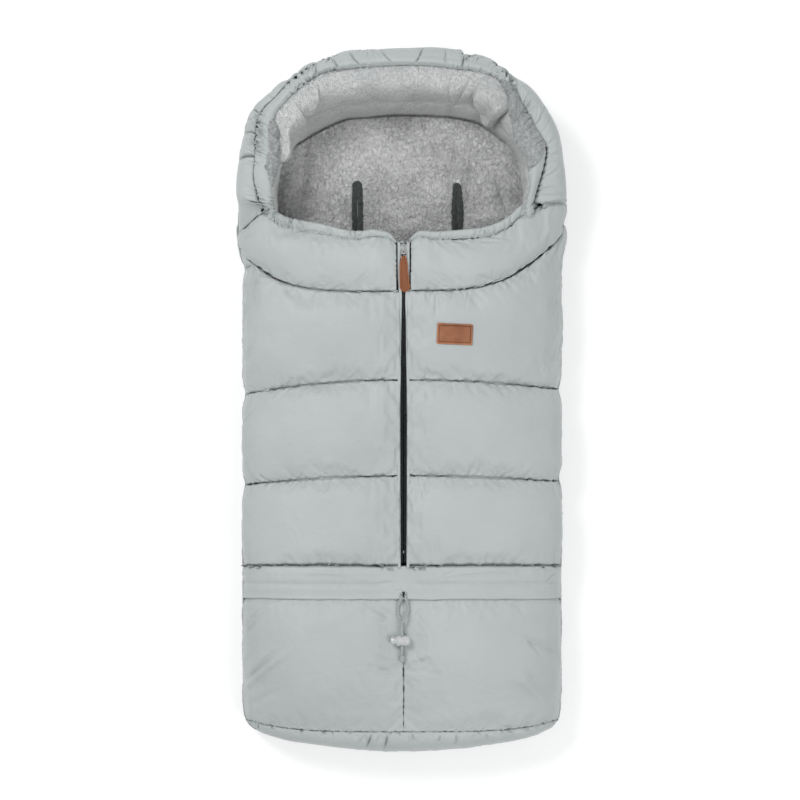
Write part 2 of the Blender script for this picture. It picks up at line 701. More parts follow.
FOOT_WRINKLES = (
    (-5, -3410, -462, -3359, 28, 16), (-5, -3359, -385, -3192, 14, 16), (-26, -3474, -333, -3487, 12, 14),
    (26, -3397, 359, -3269, 22, 14), (26, -3436, 487, -3461, 18, 14), (20, -3500, 240, -3600, 10, 12),
    (-77, -2833, -385, -2705, -14, 34), (-51, -3064, -282, -3192, -10, 30),
    (90, -2920, 250, -2640, 12, 34), (-1974, -3654, -1487, -3218, -20, 38),
    (-1923, -3513, -1628, -3192, 12, 26), (-1990, -2936, -1769, -2641, -12, 14),
    (1538, -3013, 2000, -3231, -16, 18), (1603, -3064, 1769, -3218, 12, 14),
    (1513, -3526, 1990, -4080, -14, 60), (-1900, -3880, -1600, -3700, 10, 40),
)
BAND_WRINKLES = (
    (474, -2256, 731, -2141, 12, 12), (487, -2269, 1487, -2192, 14, 11),
    (1846, -2308, 1987, -2192, 12, 12), (-1218, -2192, -590, -2218, -8, 26),
    (20, -2130, 20, -2330, 10, 8), (-400, -2350, -50, -2290, 10, 14),
)
GUSSET_WRINKLES = (
    (-385, -4235, -462, -4430, 40, 11), (-179, -4235, -231, -4440, 44, 12),
    (128, -4235, 160, -4350, 30, 10), (500, -4235, 460, -4350, 30, 10), (700, -4235, 680, -4390, 26, 10),
    (-1846, -4120, -1840, -4240, 34, 10), (1923, -4110, 1950, -4190, 30, 10),
    (1060, -4235, 1100, -4330, 24, 10),
)


def front_shell(side, word):
    """One front half: three quilted channels in a row, from the band up to the collar."""
    s, along = even_columns(COLS, NEAR)
    marks = [np.full(COLS, BAND_TOP_Y - 0.002), seam_y(side, s, "b"), seam_y(side, s, "a"), arc_y(side, s)]
    parts = []
    for channel, (low, high) in enumerate(zip(marks, marks[1:])):
        steps = 26 if channel < 2 else 24
        t = channel_rows(steps)[:, None]
        y = mix(low, high, t)
        edge = smooth(1.0, 0.955, s)
        height = CHANNEL_LIFT * puff(t) * (0.35 + 0.65 * by_zip(s)) * (0.25 + 0.75 * edge)
        height = height - SEAM_SINK * (1 - puff(t, 0.25))
        points = front(side, s, y, height)
        points, columns_s, fine_t = blown_up(side, points, s, t, 0.022, 0.0036)
        reach = np.linspace(0, along[-1], points.shape[1])
        tall = (high - low).mean()
        seed = 20 * channel + (7 if side > 0 else 0)
        above, below = fine_t * tall, (1 - fine_t) * tall
        lift = puckers(reach, above, seed, 0.013, 0.009, 0.0005)
        lift = lift + puckers(reach, below, seed + 9, 0.011, 0.010, 0.0006)
        lift = lift + wrinkles(points[..., 0], points[..., 1], PANEL_WRINKLES)
        for distance, first, last, count, length, depth in SEAM_CREASES[channel][0 if side < 0 else 1]:
            away = above if distance == "low" else below
            span = (first * along[-1], last * along[-1])
            lift = lift + creases(reach, away, seed + count, count, span, length, depth)
        lift = lift + creases(above, along[-1] - reach, seed + 3, 22, (0, tall), 0.012, 0.0006, 0.0012)
        lift = lift + creases(above, reach, seed + 4, 9, (0, tall), 0.030, 0.0009, 0.0016, 0.9)
        lift = lift * np.minimum(puff(fine_t, 0.5) * 2.4, 1) * smooth(1.0, 0.985, columns_s)
        points = points + lift[..., None] * grid_normals(points) * -side
        gate = (np.minimum(puff(fine_t, 0.6) * 1.5, 1) * smooth(0, 0.08, 1 - columns_s))[..., None]
        points = points + (crumple(points, 50 + seed, 0.0004, 0.0010) - points) * gate
        low_seam = bell(above, GROOVE)
        if channel == 0:
            low_seam = 1.9 * bell(np.maximum(above - 0.0030, 0), 0.0008) * smooth(1.0, 0.97, columns_s)
        sewn = (low_seam + bell(below, GROOVE)) * smooth(0, 0.02, columns_s)
        points = pressed(points, GROOVE_DEEP * sewn * (0.3 + 0.7 * smooth(1.0, 0.985, columns_s)), side)
        parts.append(points if channel == 0 else points[1:])
    made = grid_object(f"front_shell_{word}", np.concatenate(parts), thickness=SHELL_T)
    oriented(made, (side * 0.1, 0, -0.1))
    return finish_piece(made, front_blend(word), SHELL,
                        (f"front_{word}_panel", f"front_{word}_wadding"))


def collar(side, word):
    """The puffed collar between the top channel and the opening."""
    s, along = even_columns(COLS, 0.0092 / BODY_HALF)
    t = channel_rows(26)[:, None]
    y = mix(arc_y(side, s), opening_y(side, s), t)
    edge = smooth(1.0, 0.94, s)
    swell = puff(t * (1 - (side > 0) * 0.22 * smooth(0.84, 0.88, s)), 0.5)
    height = COLLAR_LIFT * swell * (0.4 + 0.6 * by_zip(s)) * (0.2 + 0.8 * edge)
    points = front(side, s, y, height - SEAM_SINK * (1 - puff(t, 0.25)))
    points, columns_s, fine_t = blown_up(side, points, s, t, 0.010, 0.0030)
    reach = np.linspace(0, along[-1], points.shape[1])
    tall = 0.075
    above, below = fine_t * tall, (1 - fine_t) * tall
    span = (0.0, along[-1])
    lift = puckers(reach, above, 200 + side, 0.012, 0.008, 0.0006)
    lift = lift + puckers(reach, below, 210 + side, 0.010, 0.010, 0.0007)
    lift = lift + creases(reach, above, 204 + side, 16, span, 0.010, 0.0009)
    lift = lift + creases(reach, below, 206 + side, 46, span, 0.012, 0.0010)
    lift = lift + wrinkles(points[..., 0], points[..., 1], COLLAR_WRINKLES)
    lift = lift + creases(above, along[-1] - reach, 212 + side, 14, (0, tall), 0.012, 0.0007)
    gate = np.minimum(puff(fine_t, 0.5) * 2.4, 1) * smooth(1.0, 0.985, columns_s)
    points = points + (lift * gate)[..., None] * grid_normals(points) * -side
    points = points + (crumple(points, 220 + side, 0.0003, 0.0009) - points) * gate[..., None]
    casing = smooth(CORNER_X[side] / BODY_HALF + 0.03, CORNER_X[side] / BODY_HALF, columns_s)
    dashes = smooth(-0.25, 0.15, noise(columns_s * BODY_HALF / 0.0034, 0.5, 44 + side))
    under = CASING_PRESS[side] * smooth(0.04, 0.14, columns_s)
    joint = (1 - casing) * JOINT_PRESS[side] + casing * (0.25 + 0.75 * dashes) * under
    joint = joint * bell(below, 1.8 * GROOVE) * smooth(1.0, 0.985, columns_s)
    points = pressed(points, GROOVE_DEEP * (bell(above, GROOVE) + joint), side)
    made = grid_object(f"collar_shell_{word}", points, thickness=SHELL_T)
    oriented(made, (side * 0.1, 0, -0.1))
    return finish_piece(made, collar_blend(word), SHELL,
                        (f"collar_{word}",))


def opening_casing(side, word):
    """The gathered edge of the front opening, which turns over into the bag."""
    start, stop = 0.0092, 0.1745 if side < 0 else 0.1700
    count, rows = 520, 30
    x = np.linspace(start, stop, count)
    s = x / BODY_HALF
    wide = curve(x, (start, 0.03, 0.09, 0.15, stop), (0.0075, 0.0095, 0.0120, 0.0150, 0.0150))
    wide = wide * (0.3 + 0.7 * smooth(stop, stop - 0.012, x))
    base = front(side, s, opening_y(side, s) - 0.0015, -0.0012)
    turn = np.linspace(0, 1, rows)[:, None]
    depth = turn * wide.mean() * 1.3
    if side < 0:
        pull = curve(x, (start, 0.045, 0.052, 0.066, 0.075, 0.108, 0.120, 0.160, stop),
                     (0.25, 0.25, 1.3, 1.3, 0.35, 0.4, 1.5, 1.4, 0.8))
    else:
        pull = curve(x, (start, 0.085, 0.098, 0.106, 0.115, 0.150, stop),
                     (0.3, 0.3, 0.8, 0.8, 0.15, 0.15, 0.25))
    lift = 0.0042 * np.sin(pi * np.clip(turn * 1.25, 0, 1)) ** 0.75
    folds = 0.0030 * gathers(x, turn * 1.5, 33 + side, 0.0078)
    folds = folds + 0.0010 * gathers(x, turn * 3, 35 + side, 0.0036)
    folds = pull * folds * (0.45 + 0.75 * bell(turn, 0.35))
    folds = folds + creases(x, depth, 38 + side, 22, (start, stop), 0.012, 0.0016, 0.0010)
    star = 0.0040 if side < 0 else 0.0010
    folds = folds + creases(x, depth, 39 + side, 14, (stop - 0.045, stop), 0.018, star, 0.0012, 0.3)
    lift = lift + folds * np.sin(pi * turn) ** 0.4
    stitch = smooth(-0.25, 0.15, noise(x / 0.0034, 0.5, 44 + side)) * bell(turn - 0.06, 0.035)
    lift = lift - 0.0020 * stitch
    y = base[..., 1] + wide * np.sin(np.clip(turn * 1.25, 0, 1) * pi / 2) ** 1.1
    y = y + 0.35 * folds - 0.006 * smooth(0.8, 1.0, turn)
    z = base[..., 2] + lift - 0.020 * smooth(0.72, 1.0, turn) ** 1.2
    end = smooth(start, start + 0.006, x)
    z = z - 0.004 * (1 - end) - 0.007 * (1 - smooth(stop, stop - 0.010, x))
    points = np.stack(np.broadcast_arrays(base[..., 0], y, z), axis=-1)
    made = grid_object(f"opening_casing_{word}", points, thickness=RIM_T)
    oriented(made, (side * 0.1, 0.1, 0.0))
    return finish_piece(made, collar_blend(word), SHELL,
                        (f"collar_rim_{word}",))


def lining(side, word):
    """Fleece under the front, in two pieces that part at the collar's seam."""
    split = 0.14
    for name, low, high, body in (
        (f"front_lining_{word}", BAND_TOP_Y - 0.002, split, front_blend(word)),
        (f"collar_lining_{word}", split, None, collar_blend(word)),
    ):
        s, _ = even_columns(60, 0.0072 / BODY_HALF)
        t = np.linspace(0, 1, 90 if high else 30)[:, None]
        top = np.full_like(s, high) if high else np.minimum(opening_y(side, s) + 0.004, 0.2265)
        y = mix(low, top, t)
        deep = 0.0035 + 0.0150 * smooth(0.03, 0.16, s) * smooth(1.0, 0.90, s)
        depth = -(deep + 0.0018 + 0.0014 * noise(s * BODY_HALF / 0.05, y / 0.06, 300 + side))
        points = front(side, s, y, depth)
        made = grid_object(name, points, thickness=-FLEECE_T)
        oriented(made, (side * 0.1, 0, -0.1), -1)
        finish_piece(made, body, WALL_FLEECE, (f"front_{word}_lining",) if high else ())


# Foot: channel band, two panels and the end gusset


def foot_seam_y(x):
    return FOOT_SEAM_Y + 0.010 * (np.abs(x) / 0.19) ** 5


def whole_columns(count, near=0.0):
    s, _ = even_columns(count, near)
    sides = np.concatenate([-np.ones(count), np.ones(count - 1)])
    return sides, np.concatenate([s, s[::-1][1:]])


def front_row(sides, s, y, lift):
    """Points across the whole front for arrays of sides and s values."""
    left, right = front(-1, s, y, lift), front(1, s, y, lift)
    return np.where((sides < 0)[..., None], left, right)


def band():
    """The channel band over the shins, with its soft crease, hem and slit for the cord."""
    sides, s = whole_columns(150)
    t = channel_rows(36)[:, None]
    low_edge = BAND_END_Y - 0.0006 * noise(sides * s * 9, 0.5, 8)
    y = mix(low_edge, BAND_TOP_Y + 0.0006 * noise(sides * s * 12, 0.2, 9), t)
    edge = smooth(1.0, 0.95, s)
    reach = sides * s * BODY_HALF
    crease = 0.46
    two = np.where(t < crease, puff(t / crease, 0.5), puff((t - crease) / (1 - crease), 0.5) * 1.15)
    lift = BAND_LIFT * two * (0.3 + 0.7 * edge) + 0.0012 * bell(t - 0.03, 0.05)
    lift = lift + puckers(reach, np.abs(t - crease) * 0.043, 70, 0.012, 0.010, 0.0006) * puff(t, 0.4)
    lift = lift + puckers(reach, (1 - t) * 0.043, 74, 0.010, 0.012, 0.0006) * puff(t, 0.4)
    lift = lift + creases(reach, (1 - t) * 0.043, 76, 70, (-0.2, 0.2), 0.009, 0.0009) * puff(t, 0.4)
    level = np.abs((t - crease) * 0.043 + 0.0015 * noise(reach / 0.05, 0.5, 77))
    lift = lift - 0.0005 * bell(level, 0.0020) - 0.0004 * bell(level - 0.011, 0.002)
    lift = lift - 0.0045 * smooth(0.95, 1.0, t) * (0.3 + 0.7 * edge) + 0.0008 * smooth(0.10, 0.03, t)
    points = front_row(sides, s, y, lift)
    lift = lift + wrinkles(points[..., 0], points[..., 1], BAND_WRINKLES)
    low_middle = np.where(t > 0.25, smooth(0.006, 0.022, np.abs(reach - ZIP_X)), 1.0)
    lift = mix(np.minimum(lift, -0.0004), lift, low_middle)
    points = front_row(sides, s, y, lift)
    slit_x, slit_low, slit_high = 0.0022, -0.2492, -0.2410
    gate = np.minimum(puff(t, 0.5) * 1.3, 1) * low_middle
    points = points + (crumple(points, 80, 0.0005, 0.0006) - points) * gate[..., None]
    made = grid_object("drawcord_channel", points)
    without_faces(made, lambda spot: abs(spot.x - ZIP_X) < slit_x and slit_low < spot.y < slit_high)
    thicken(made, SHELL_T)
    oriented(made, (0, -0.2, -0.1))
    return finish_piece(made, "bag", SHELL, ("foot_channel_band",))


def foot_panel(side, word):
    """One half of the padded foot, with its stitched centre seam and creases."""
    s, along = even_columns(60, 0.0)
    t = channel_rows(44)[:, None]
    y = mix(foot_seam_y(s * BODY_HALF), BAND_END_Y + 0.0020, t)
    edge = smooth(1.0, 0.93, s)
    by_lock = smooth(0.40, 0.55, t) * smooth(1.0, 0.92, t)
    middle = mix(smooth(0, 0.030, s * BODY_HALF) ** 0.5, smooth(0.008, 0.040, s * BODY_HALF), by_lock)
    across = mix(0.25, 0.10, by_lock) + 0.75 * middle
    height = FOOT_LIFT * puff(0.96 * t, 0.45) * across * (0.25 + 0.75 * edge)
    height = height - 0.0032 * smooth(0.92, 0.99, t)
    points = front(side, s, y, height)
    held = (by_lock > 0.2) & (s * BODY_HALF < 0.020)
    points, columns_s, fine_t = blown_up(side, points, s, t, 0.010, 0.0026, held)
    reach = np.linspace(0, along[-1], points.shape[1])
    tall = BAND_END_Y - FOOT_SEAM_Y
    above, in_from_middle = fine_t * tall, along[-1] - reach
    lift = puckers(reach, above, 90 + side, 0.011, 0.005, 0.0006)
    lift = lift + creases(reach, above, 92 + side, 34, (0, along[-1]), 0.007, 0.0014, 0.0009)
    lift = lift + creases(above, in_from_middle, 94 + side, 9, (0, 0.085), 0.010, 0.0007)
    lift = lift + 1.5 * wrinkles(points[..., 0], points[..., 1], FOOT_WRINKLES)
    gate = np.minimum(puff(fine_t, 0.5) * 2.4, 1) * smooth(1.0, 0.985, columns_s)
    under_lock = smooth(LOCK_Y - 0.024, LOCK_Y - 0.015, points[..., 1])
    under_lock = under_lock * smooth(LOCK_Y + 0.034, LOCK_Y + 0.024, points[..., 1])
    under_lock = under_lock * smooth(0.032, 0.018, np.abs(points[..., 0]))
    points[..., 2] -= 0.0006 * under_lock
    gate = gate * (1 - 0.9 * under_lock)
    points = points + (lift * gate)[..., None] * grid_normals(points) * -side
    points = points + (crumple(points, 120 + side, 0.0004, 0.0010) - points) * gate[..., None]
    centre = bell(in_from_middle, 0.0005) * smooth(0.56, 0.52, fine_t)
    centre = centre * (0.22 + 0.22 * np.sin(above * tau / STITCH))
    uneven = 0.35 + 0.9 * smooth(-0.3, 0.3, noise(reach / 0.0040, 0.5, 161))
    sewn = uneven * bell(above, GROOVE) * smooth(1.0, 0.985, columns_s)
    points = pressed(points, GROOVE_DEEP * (sewn + centre), side)
    made = grid_object(f"foot_shell_{word}", points, thickness=SHELL_T)
    oriented(made, (0, -0.3, -0.1))
    return finish_piece(made, "bag", SHELL, (f"foot_{word}_panel",))


def end_y(x):
    return curve(np.abs(x), END_HALF, END_AT)


def end_gusset():
    """The crescent past the bottom seam, gathered into it."""
    sides, s = whole_columns(260)
    x = sides * s * BODY_HALF
    top = front_row(sides, s, foot_seam_y(x), -0.0012)
    turn = np.linspace(0, 1, 36)[:, None]
    quarter = turn * pi / 2
    low_y = np.minimum(end_y(top[..., 0]), top[..., 1])
    y = mix(top[..., 1], low_y, np.sin(quarter) ** 0.75)
    z = mix(SEAM_Z, top[..., 2], np.maximum(np.cos(quarter), 0) ** 0.75)
    drop = turn * 0.055
    gather = puckers(x, drop, 140, 0.0105, 0.012, 0.0012)
    gather = gather + creases(x, drop, 142, 80, (-0.19, 0.19), 0.009, 0.0026, 0.0009)
    gather = gather + creases(x, drop, 144, 8, (-0.06, 0.03), 0.030, 0.0022, 0.0018)
    gather = gather * np.minimum(turn * 8, 1)
    z = z + gather * smooth(1.0, 0.9, s)
    y = y - 0.0015 * np.sin(pi * turn) * smooth(1.0, 0.8, s)
    points = np.stack(np.broadcast_arrays(top[..., 0], y, z), axis=-1)
    points = points + (crumple(points, 150, 0.0006, 0.0008) - points) * np.sin(pi * turn)[..., None]
    pleats = wrinkles(points[..., 0], points[..., 1], GUSSET_WRINKLES) * np.minimum(turn * 8, 1)
    points[..., 2] += pleats
    made = grid_object("foot_end_shell", points, thickness=SHELL_T)
    oriented(made, (0, -0.35, 0.0))
    return finish_piece(made, "bag", SHELL, ("foot_end_gusset", "foot_end_wadding"))


def foot_lining():
    """Fleece over the feet, from the channel to the bottom seam and down the end."""
    sides, s = whole_columns(60)
    t = np.linspace(0, 1, 60)[:, None]
    x = sides * s * BODY_HALF
    y = mix(BAND_TOP_Y, foot_seam_y(x) + 0.004, t)
    deep = 0.006 + 0.012 * smooth(1.0, 0.9, s) + 0.004 * smooth(0, 0.1, t)
    deep = -(deep + 0.0015 * noise(x / 0.05, y / 0.05, 160))
    upper = front_row(sides, s, y, deep)
    turn = np.linspace(0, 1, 16)[1:, None]
    last = upper[-1]
    y_end = mix(last[:, 1], np.maximum(end_y(x) + 0.014, last[:, 1] - 0.018), np.sin(turn * pi / 2))
    z_end = mix(last[:, 2], 0.024, turn)
    lower = np.stack(np.broadcast_arrays(last[:, 0] * 0.985, y_end, z_end), axis=-1)
    made = grid_object("foot_fleece", np.concatenate([upper, lower]), thickness=-FLEECE_T)
    oriented(made, (0, -0.3, -0.1), -1)
    replaced = ("foot_lining", "foot_wadding", "foot_end_lining")
    return finish_piece(made, "bag", WALL_FLEECE, replaced)


# Hood: radii round the middle of its joint, by the angle in degrees from the left joint over the top

OUTLINE = ((0, 5, 18, 22, 28, 37, 45, 49, 52, 56, 60, 65, 70, 79, 90, 107, 109.4, 110.6, 114, 118, 123,
            128, 132, 138, 146, 152, 160, 168, 180),
           (.2135, .2132, .2205, .2245, .2300, .2390, .2362, .2356, .2330, .2330, .2330, .2278, .2305,
            .2235, .2215, .2300, .2306, .2256, .2325, .2364, .2352, .2350, .2378, .2363, .2325, .2285,
            .2205, .2143, .2100))
GATHER = ((0, 4.7, 8, 11, 16, 23, 31, 37, 45, 52, 60, 70, 90, 110, 118, 124, 128.5, 134, 140, 148, 153.5,
           158, 165, 171, 180),
          (.1720, .1737, .1826, .1879, .1964, .2040, .2169, .2263, .2255, .2280, .2290, .2262, .2185,
           .2262, .2320, .2310, .2240, .2160, .2110, .2070, .2052, .1955, .1800, .1705, .1690))
INNER = ((0, 10, 15, 19, 28, 34, 39, 45, 52, 64, 70, 78, 90, 101, 111, 117, 125, 129, 134, 140, 147, 153,
          157, 165, 171, 180),
         (.1610, .1653, .1715, .1712, .1784, .1900, .2085, .2120, .2130, .2117, .2053, .2000, .1976,
          .2004, .2060, .2130, .2160, .2120, .1969, .1840, .1750, .1765, .1735, .1673, .1590, .1560))
FLOOR = ((0, 20, 32, 41, 48, 56, 62, 73, 85, 97, 108, 119, 127, 132, 139, 144, 160, 180),
         (.1580, .1690, .1765, .1683, .1626, .1581, .1550, .1462, .1431, .1435, .1486, .1575, .1650,
          .1672, .1700, .1735, .1640, .1560))
FLOOR_Z = 0.0215


def polar(angle, radius, z):
    a = np.radians(angle)
    return np.stack(np.broadcast_arrays(-radius * np.cos(a), HOOD_Y + radius * np.sin(a), z), axis=-1)


def rim_z(angle):
    return 0.104 + 0.036 * np.maximum(np.sin(np.radians(angle)), 0) ** 0.8


def top_share(angle):
    """1 over the head end, where the casing folds outwards, and 0 at the sides."""
    return smooth(48, 68, angle) * smooth(132, 112, angle)


def gather_z(angle):
    return rim_z(angle) - mix(0.0105, 0.024, top_share(angle))


def base_radius(angle):
    return curve(angle, *OUTLINE) - mix(0.0045, 0.0065, top_share(angle))


TIGHTNESS = ((0, 10, 13, 20, 23, 37, 40, 47, 50, 60, 63, 67, 70, 90, 105, 109, 115, 118, 121, 129, 132,
              150, 158, 168, 172, 180),
             (1.2, 1.1, .30, .20, 1.2, 1.1, .15, .15, 1.2, 1.2, .60, 1.1, .15, .10, .15, .70, .80, .5,
              1.2, 1.2, .15, .10, .15, .20, .60, .60))


def gather_strength(angle):
    """How tightly the casing is gathered: hard at the corners, hardly at all over the head."""
    return curve(angle, *TIGHTNESS)


# Creases down the outside of the hood: angle, depth, half-width and lean in degrees
SHELL_CREASES = ((21.6, 0.0100, 0.34, 6.0), (29.5, 0.0062, 0.24, 4.3), (37.2, 0.0062, 0.24, 0.0),
                 (33.6, 0.0020, 0.25, 3.0), (44.5, 0.0016, 0.30, -3.0), (51.0, 0.0040, 0.30, 2.0),
                 (55.0, 0.0030, 0.30, 1.0), (62.0, 0.0045, 0.36, -1.0), (110.4, 0.0050, 0.30, 0.0),
                 (121.5, 0.0030, 0.30, 2.0), (126.0, 0.0022, 0.30, -1.0), (141.0, 0.0012, 0.40, 8.0),
                 (144.5, 0.0010, 0.40, 8.0), (170.5, 0.0014, 0.60, -2.0))
ARC_R = 0.205
SEWN_DEEP = 0.0024


def seam_shows(angle):
    """How far the gathered seam sinks: crisp at the left and the lower right, soft elsewhere."""
    return curve(angle, (0, 12, 16, 34, 40, 60, 66, 108, 114, 122, 128, 148, 154, 176, 180),
                 (0.9, 0.9, 0.5, 0.55, 0.35, 0.6, 0.2, 0.2, 0.9, 0.8, 0.15, 0.15, 1.5, 1.5, 1.0))


def seam_dashes(arc):
    """Stitches that sink unevenly along the gathered seam."""
    return 0.35 + 0.65 * smooth(-0.2, 0.2, noise(arc / 0.0034, 0.5, 431))


def hood_shell():
    """The hood's padded outside, from the joint on one side round the head to the other."""
    angle = np.linspace(-3, 183, 1500)
    v = np.linspace(0, 1, 64)[:, None]
    out, seam, base = curve(angle, *OUTLINE), curve(angle, *GATHER), base_radius(angle)
    low_part = np.sin(np.clip(v / 0.42, 0, 1) * pi / 2)
    high_part = np.cos(np.clip((v - 0.42) / 0.58, 0, 1) * pi / 2) ** 0.62
    radius = np.where(v < 0.42, mix(base, out, low_part), mix(seam, out, high_part))
    z = mix(SEAM_Z, gather_z(angle), np.sin(v * pi / 2) ** 0.85)
    arc = np.radians(angle) * ARC_R
    tall = 0.075
    down = (1 - v) * tall
    pull = gather_strength(angle)
    lift = 0.0022 * pull * gathers(arc, 0.2 * v, 422, 0.0085) * bell(down, 0.012)
    lift = lift + 0.0012 * pull * gathers(arc, v, 424, 0.0042) * bell(down, 0.008)
    lift = lift + creases(arc, down, 402, 80, (0, 0.65), 0.014, 0.0042, 0.0009) * pull
    lift = lift + creases(arc, down, 403, 14, (0.02, 0.62), 0.040, 0.0020, 0.0014)
    lift = lift + creases(arc, v * tall, 404, 40, (0, 0.65), 0.014, 0.0010)
    for at, depth, width, lean in SHELL_CREASES:
        off = angle - at - lean * (v - 0.6)
        dent = bell(off, width) + 0.25 * np.exp(-np.abs(off) / (3 * width))
        ridge = bell(off - 2.2, 1.5) + 0.5 * bell(off + 2.0, 1.5)
        lift = lift + depth * (0.12 * ridge - dent) * smooth(0.30, 0.62, v)
    lift = lift * np.minimum(np.sin(pi * np.clip(v, 0.02, 1)) ** 0.5 + 0.6 * (v > 0.5), 1)
    points = polar(angle, radius, z)
    points = points + lift[..., None] * polar_out(angle, v)
    points = points + (crumple(points, 410, 0.0005, 0.0014) - points) * (np.sin(pi * v) ** 0.6)[..., None]
    points[..., 2] -= SEWN_DEEP * seam_shows(angle) * seam_dashes(arc) * bell(down, 0.0011)
    points[-1] -= np.stack([0 * angle, 0 * angle, 0.002 * np.minimum(seam_shows(angle), 1)], axis=-1)
    for side, column, away in ((-1, 0, angle - angle[0]), (1, -1, angle[-1] - angle)):
        seam_at = joint_line(side, points[:, column, 2])
        fade = 1 - smooth(0, 13, away)
        points = points + (seam_at - points[:, column])[:, None] * fade[None, :, None]
        hollow = JOINT_DEEP[side] * bell(np.radians(away) * ARC_R, JOINT_WIDE) * smooth(0, 0.3, v)
        points[..., 2] -= hollow * smooth(0.0, 0.3, v)
        points[..., 0] -= side * 0.5 * hollow
    made = grid_object("hood_outer", points, thickness=SHELL_T)
    oriented(made, (0, HOOD_Y, 0.02))
    return finish_piece(made, "bag", SHELL, ("hood_shell", "hood_wadding"))


def joint_line(side, heights):
    """Points down the seam between the collar and the hood, one for each height of the hood's wall."""
    s = np.linspace(1.0, CORNER_X[side] / BODY_HALF, 200)
    flush = 0.78 * COLLAR_LIFT * (0.2 + 0.8 * smooth(1.0, 0.94, s)) * (side > 0)
    seam = front(side, s, opening_y(side, s) - 0.0012, flush - 0.0008)
    share = (heights - heights.min()) / (heights.max() - heights.min())
    wanted = mix(seam[0, 2], seam[-1, 2], share)
    return np.stack([np.interp(wanted, seam[:, 2], seam[:, k]) for k in range(3)], axis=-1)


def polar_out(angle, v):
    a = np.radians(angle)
    rise = smooth(0.2, 1.0, v) * 0.8
    flat = np.sqrt(1 - rise**2)
    return np.stack(np.broadcast_arrays(-flat * np.cos(a), flat * np.sin(a), rise), axis=-1)


# Creases across the channel over the head: angle, lean in degrees, depth
CASING_CREASES = ((72, 3, 0.0034), (82, 5, 0.0028), (97.5, -3, 0.0030), (104, 2, 0.0016), (62, -3, 0.0040),
                  (110.5, 1, 0.0040), (66.5, 1, 0.0040))


def casing_surface(angle, t):
    """The elasticated channel's outer skin; t runs from its gathered seam to its inner edge."""
    seam, inner, out = curve(angle, *GATHER), curve(angle, *INNER), curve(angle, *OUTLINE)
    share, pull = top_share(angle), gather_strength(angle)
    arc = np.radians(angle) * ARC_R
    wide = 0.026
    low_out, low_in = gather_z(angle), rim_z(angle) - 0.0075
    by_seam, by_edge = bell(t, 0.34), bell(1 - t, 0.30)
    outer_folds = gathers(arc, 0.2 + 0.9 * t, 422, 0.0085)
    inner_folds = gathers(arc, 2.0 + 0.9 * t, 427, 0.0075)
    lift = 0.0034 * pull * (outer_folds * (0.15 + 0.85 * by_seam) + 0.9 * inner_folds * by_edge)
    lift = lift + 0.0016 * pull * gathers(arc, 2.0 * t, 424, 0.0042) * (by_seam + by_edge)
    lift = lift + pull * creases(arc, t * wide, 425, 110, (0, 0.65), 0.012, 0.0056, 0.0009, 0.45)
    lift = lift + pull * creases(arc, (1 - t) * wide, 426, 80, (0, 0.65), 0.010, 0.0040, 0.0009, 0.4)
    lift = lift + 0.0010 * noise(arc / 0.030, t * 1.4, 430)
    for at, lean, depth in CASING_CREASES:
        off = angle - at - lean * t
        lift = lift - depth * (bell(off, 0.30) + 0.3 * np.exp(-np.abs(off) / 1.0)) * (0.3 + np.sin(pi * t))
    dash = smooth(-0.1, 0.3, noise(arc / 0.0032, 0.5, 433)) * smooth(60, 66, angle) * smooth(124, 118, angle)
    lift = lift - 0.0026 * dash * bell(t - 0.90, 0.03)
    lift = lift * np.minimum(np.sin(pi * np.clip(t, 0.01, 0.99)) ** 0.35 + 0.1, 1)
    lift = lift - SEWN_DEEP * seam_shows(angle) * seam_dashes(arc) * bell(t * wide, 0.0009)
    radius = mix(seam, inner, t) + share * (out - seam) * np.sin(pi * np.clip(t / 0.45, 0, 1)) ** 0.7
    radius = radius + pull * (0.0012 * outer_folds * bell(t, 0.3) - 0.0022 * inner_folds * by_edge)
    crown = np.sin(pi * np.clip(t, 0, 1)) ** mix(0.85, 0.60, share)
    ends = 0.010 * (1 - smooth(-1, 5, angle) * smooth(181, 176, angle))
    z = mix(low_out, low_in, smooth(0, 1, t)) + crown * mix(0.0062, 0.0155, share) + lift - ends
    return polar(angle, radius + 0.25 * lift, z)


def hood_casing():
    """The channel with its two hems, which turn under."""
    angle = np.linspace(-1, 181, 1900)
    points = casing_surface(angle, np.linspace(0, 1, 48)[:, None])
    hem_out, hem_in = points[0] + (0, 0, -0.003), points[-1] + (0, 0, -0.006)
    out = np.stack([hem_out + (0, 0, -0.003), hem_out + (0, 0, 0.002)])
    inside = np.stack([hem_in + (0, 0, 0.002), hem_in + (0, 0, -0.008)])
    made = grid_object("hood_casing", np.concatenate([out, points, inside]), thickness=RIM_T)
    oriented(made, (0, HOOD_Y, -0.4))
    return finish_piece(made, "bag", SHELL, ("hood_rim",))


# Fleece edges that roll over the channel: angles, and the share of the channel that each covers
FACINGS = (("right", (124, 127, 130, 152, 156, 159), (0.05, 0.55, 0.99, 0.99, 0.60, 0.05)),
           ("left", (14.5, 18, 22, 28, 33, 37, 39.5), (0.04, 0.26, 0.48, 0.36, 0.46, 0.36, 0.04)))


